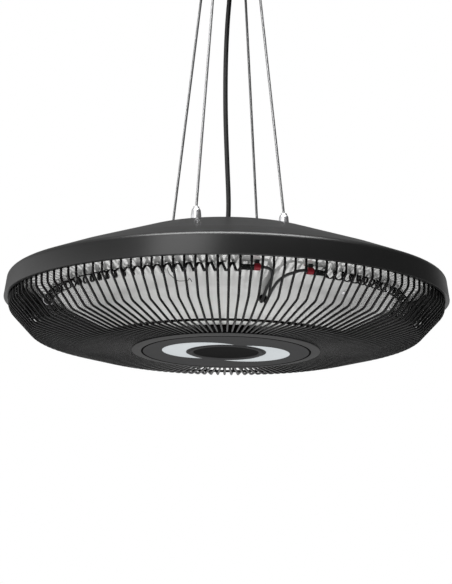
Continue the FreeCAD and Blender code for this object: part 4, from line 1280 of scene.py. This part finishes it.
@dataclass
class Studio:
    """White surroundings, pale floor, soft lamps and the camera of the photograph.

    A fade has two brightnesses, then the places at which the first ends and the second begins, as parts of
    a direction from -1 to 1.
    """

    distance: float = 3.831
    rise: float = 11.59
    roll: float = 0.64
    focal_pixels: float = 2833.2
    principal: Pair = (226.6, 302.3)
    clip_end: float = 100.0
    centre: Point = (0, 0, -HANG_DROP * MM)
    ambient: float = 0.55
    ceiling: Fade = (1.0, 0.17, 0.15, 0.45)
    sides: Fade = (2.0, 0.125, -0.75, 0.45)
    sides_lean: Pair = (0.95, 0.3)
    horizon: Fade = (1.25, 2.0, -0.05, 0.1)
    front: Fade = (1.0, 1.8, -0.1, 0.2)
    back_low: Fade = (0.58, 0.2, -0.1, 0.2)
    back_high: Fade = (0.0, 0.75, 0.32, 0.48)
    back_right: Fade = (0.0, 0.65, 0.0, 0.35)
    back_right_rise: Fade = (0.25, 1.0, -0.1, 0.15)
    front_to_back: Pair = (0.2, 0.9)
    floor: float = -2.5
    floor_reach: float = 4.5
    floor_fade: float = 1.2
    floor_greys: Pair = (0.78, 0.82)
    lamps: tuple[Lamp, ...] = (Lamp("key", (-1.06, -2.42, 0.96), (1.5, 1.5), 45.0),
                               Lamp("top", (0.03, -0.6, 1.45), (2.2, 0.9), 137.0),
                               Lamp("fill", (0.0, -0.7, -2.35), (2.0, 2.0), 62.0))

    def surroundings(self) -> None:
        """White for camera and transmission rays, walls for glossy rays, and a softer light for the rest."""
        world = bpy.data.worlds.new("studio")
        bpy.context.scene.world = world
        shader = Shader(world)
        path = shader.node("ShaderNodeLightPath")
        camera, glossy, through = (shader.out(path, f"Is {kind} Ray")
                                   for kind in ("Camera", "Glossy", "Transmission"))
        white = shader.maths("MAXIMUM", camera, through)
        mirrored = glossy * self.walls(shader) + (1 - glossy) * self.ambient
        strength = white + (1 - white) * mirrored
        light = shader.node("ShaderNodeBackground", Color=(1, 1, 1, 1), Strength=strength)
        shader.finish(shader.out(light), "ShaderNodeOutputWorld")

    def walls(self, shader: Shader) -> Value:
        """Brightness of the room in reflections: bright at the left, dim overhead, at the right and behind.

        Args:
            shader: the world's tree.

        Returns:
            The brightness in a ray's direction.
        """
        ray = shader.out(shader.node("ShaderNodeTexCoord"), "Generated")
        split = shader.node("ShaderNodeSeparateXYZ", Vector=ray)
        across, away, up = (shader.out(split, axis) for axis in range(3))
        ceiling = shader.level(up, *self.ceiling)
        sides = shader.level(across * self.sides_lean[0] - away * self.sides_lean[1], *self.sides)
        horizon = shader.level(up, *self.horizon)
        right = shader.level(across, *self.back_right) * shader.level(up, *self.back_right_rise)
        back = shader.level(up, *self.back_low) + shader.level(up, *self.back_high) + right
        depth = shader.level(away, shader.level(up, *self.front), back, *self.front_to_back)
        return ceiling * shader.maths("MINIMUM", sides, horizon) * depth

    def ground(self) -> None:
        """Pale floor that fades out round the heater."""
        mesh = bpy.data.meshes.new("floor")
        corners = [(*corner, self.floor) for corner in (SQUARE * self.floor_reach).tolist()]
        mesh.from_pydata(corners, [], [tuple(range(len(corners)))])
        made = bpy.data.objects.new("floor", mesh)
        bpy.context.scene.collection.objects.link(made)
        pale = bpy.data.materials.new("floor_pale")
        shader = Shader(pale)
        place = shader.coordinates()
        dark, light = ((grey,) * 3 for grey in self.floor_greys)
        speckled = shader.shades(shader.noise(place, scale=30.0), dark, light, (0.0, 1.0))
        fade = shader.level(shader.axis_radius(place), 1.0, 0.0, self.floor_fade, self.floor_reach)
        shader.finish(shader.principled(Base_Color=speckled, Roughness=0.9, Alpha=fade))
        mesh.materials.append(pale)

    def lights(self) -> None:
        """Key from the upper left in front, a strip overhead, and a fill from below in front."""
        for lamp in self.lamps:
            lamp.put(Vector(self.centre))

    def camera(self) -> None:
        """Camera below the rim plane, looking up at its centre, with the photograph's frame."""
        rise, roll = math.radians(self.rise), math.radians(self.roll)
        ahead = Vector((0, math.cos(rise), math.sin(rise)))
        side = Vector((1, 0, 0))
        up = side.cross(ahead)
        right = side * math.cos(roll) + up * math.sin(roll)
        above = up * math.cos(roll) - side * math.sin(roll)
        place = Vector(self.centre) - ahead * self.distance
        width, height = IMAGE_SIZE
        lens = bpy.data.cameras.new("photograph")
        lens.sensor_fit = "VERTICAL"
        lens.sensor_height = SENSOR_HEIGHT
        lens.lens = SENSOR_HEIGHT * self.focal_pixels / height
        lens.shift_x = -(self.principal[0] - width / 2) / height
        lens.shift_y = (self.principal[1] - height / 2) / height
        lens.clip_end = self.clip_end
        made = bpy.data.objects.new("photograph", lens)
        made.matrix_world = Matrix.Translation(place) @ Matrix((right, above, -ahead)).transposed().to_4x4()
        bpy.context.scene.collection.objects.link(made)
        bpy.context.scene.camera = made


def main() -> None:
    """Build every sub-assembly over the frame, then the studio round them."""
    logging.basicConfig(level=logging.INFO, format="%(name)s %(message)s")
    shop = Workshop(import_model())
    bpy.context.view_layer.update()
    bpy.context.scene.view_settings.view_transform = "Standard"
    studio, suspension, hood = Studio(), Suspension(shop), Hood(shop)
    element, guard, drum = Element(shop), Guard(shop), LampDrum(shop)
    for build in (studio.camera, suspension.ropes, suspension.cord, suspension.grips, suspension.gland,
                  suspension.canopy, hood.dome, hood.inside, element.reflector, element.quartz,
                  element.heating_coil, element.seals, element.clips, element.leads, guard.wires, guard.rings,
                  drum.shell, drum.cover, studio.surroundings, studio.ground, studio.lights):
        build()


if __name__ == "__main__":
    main()
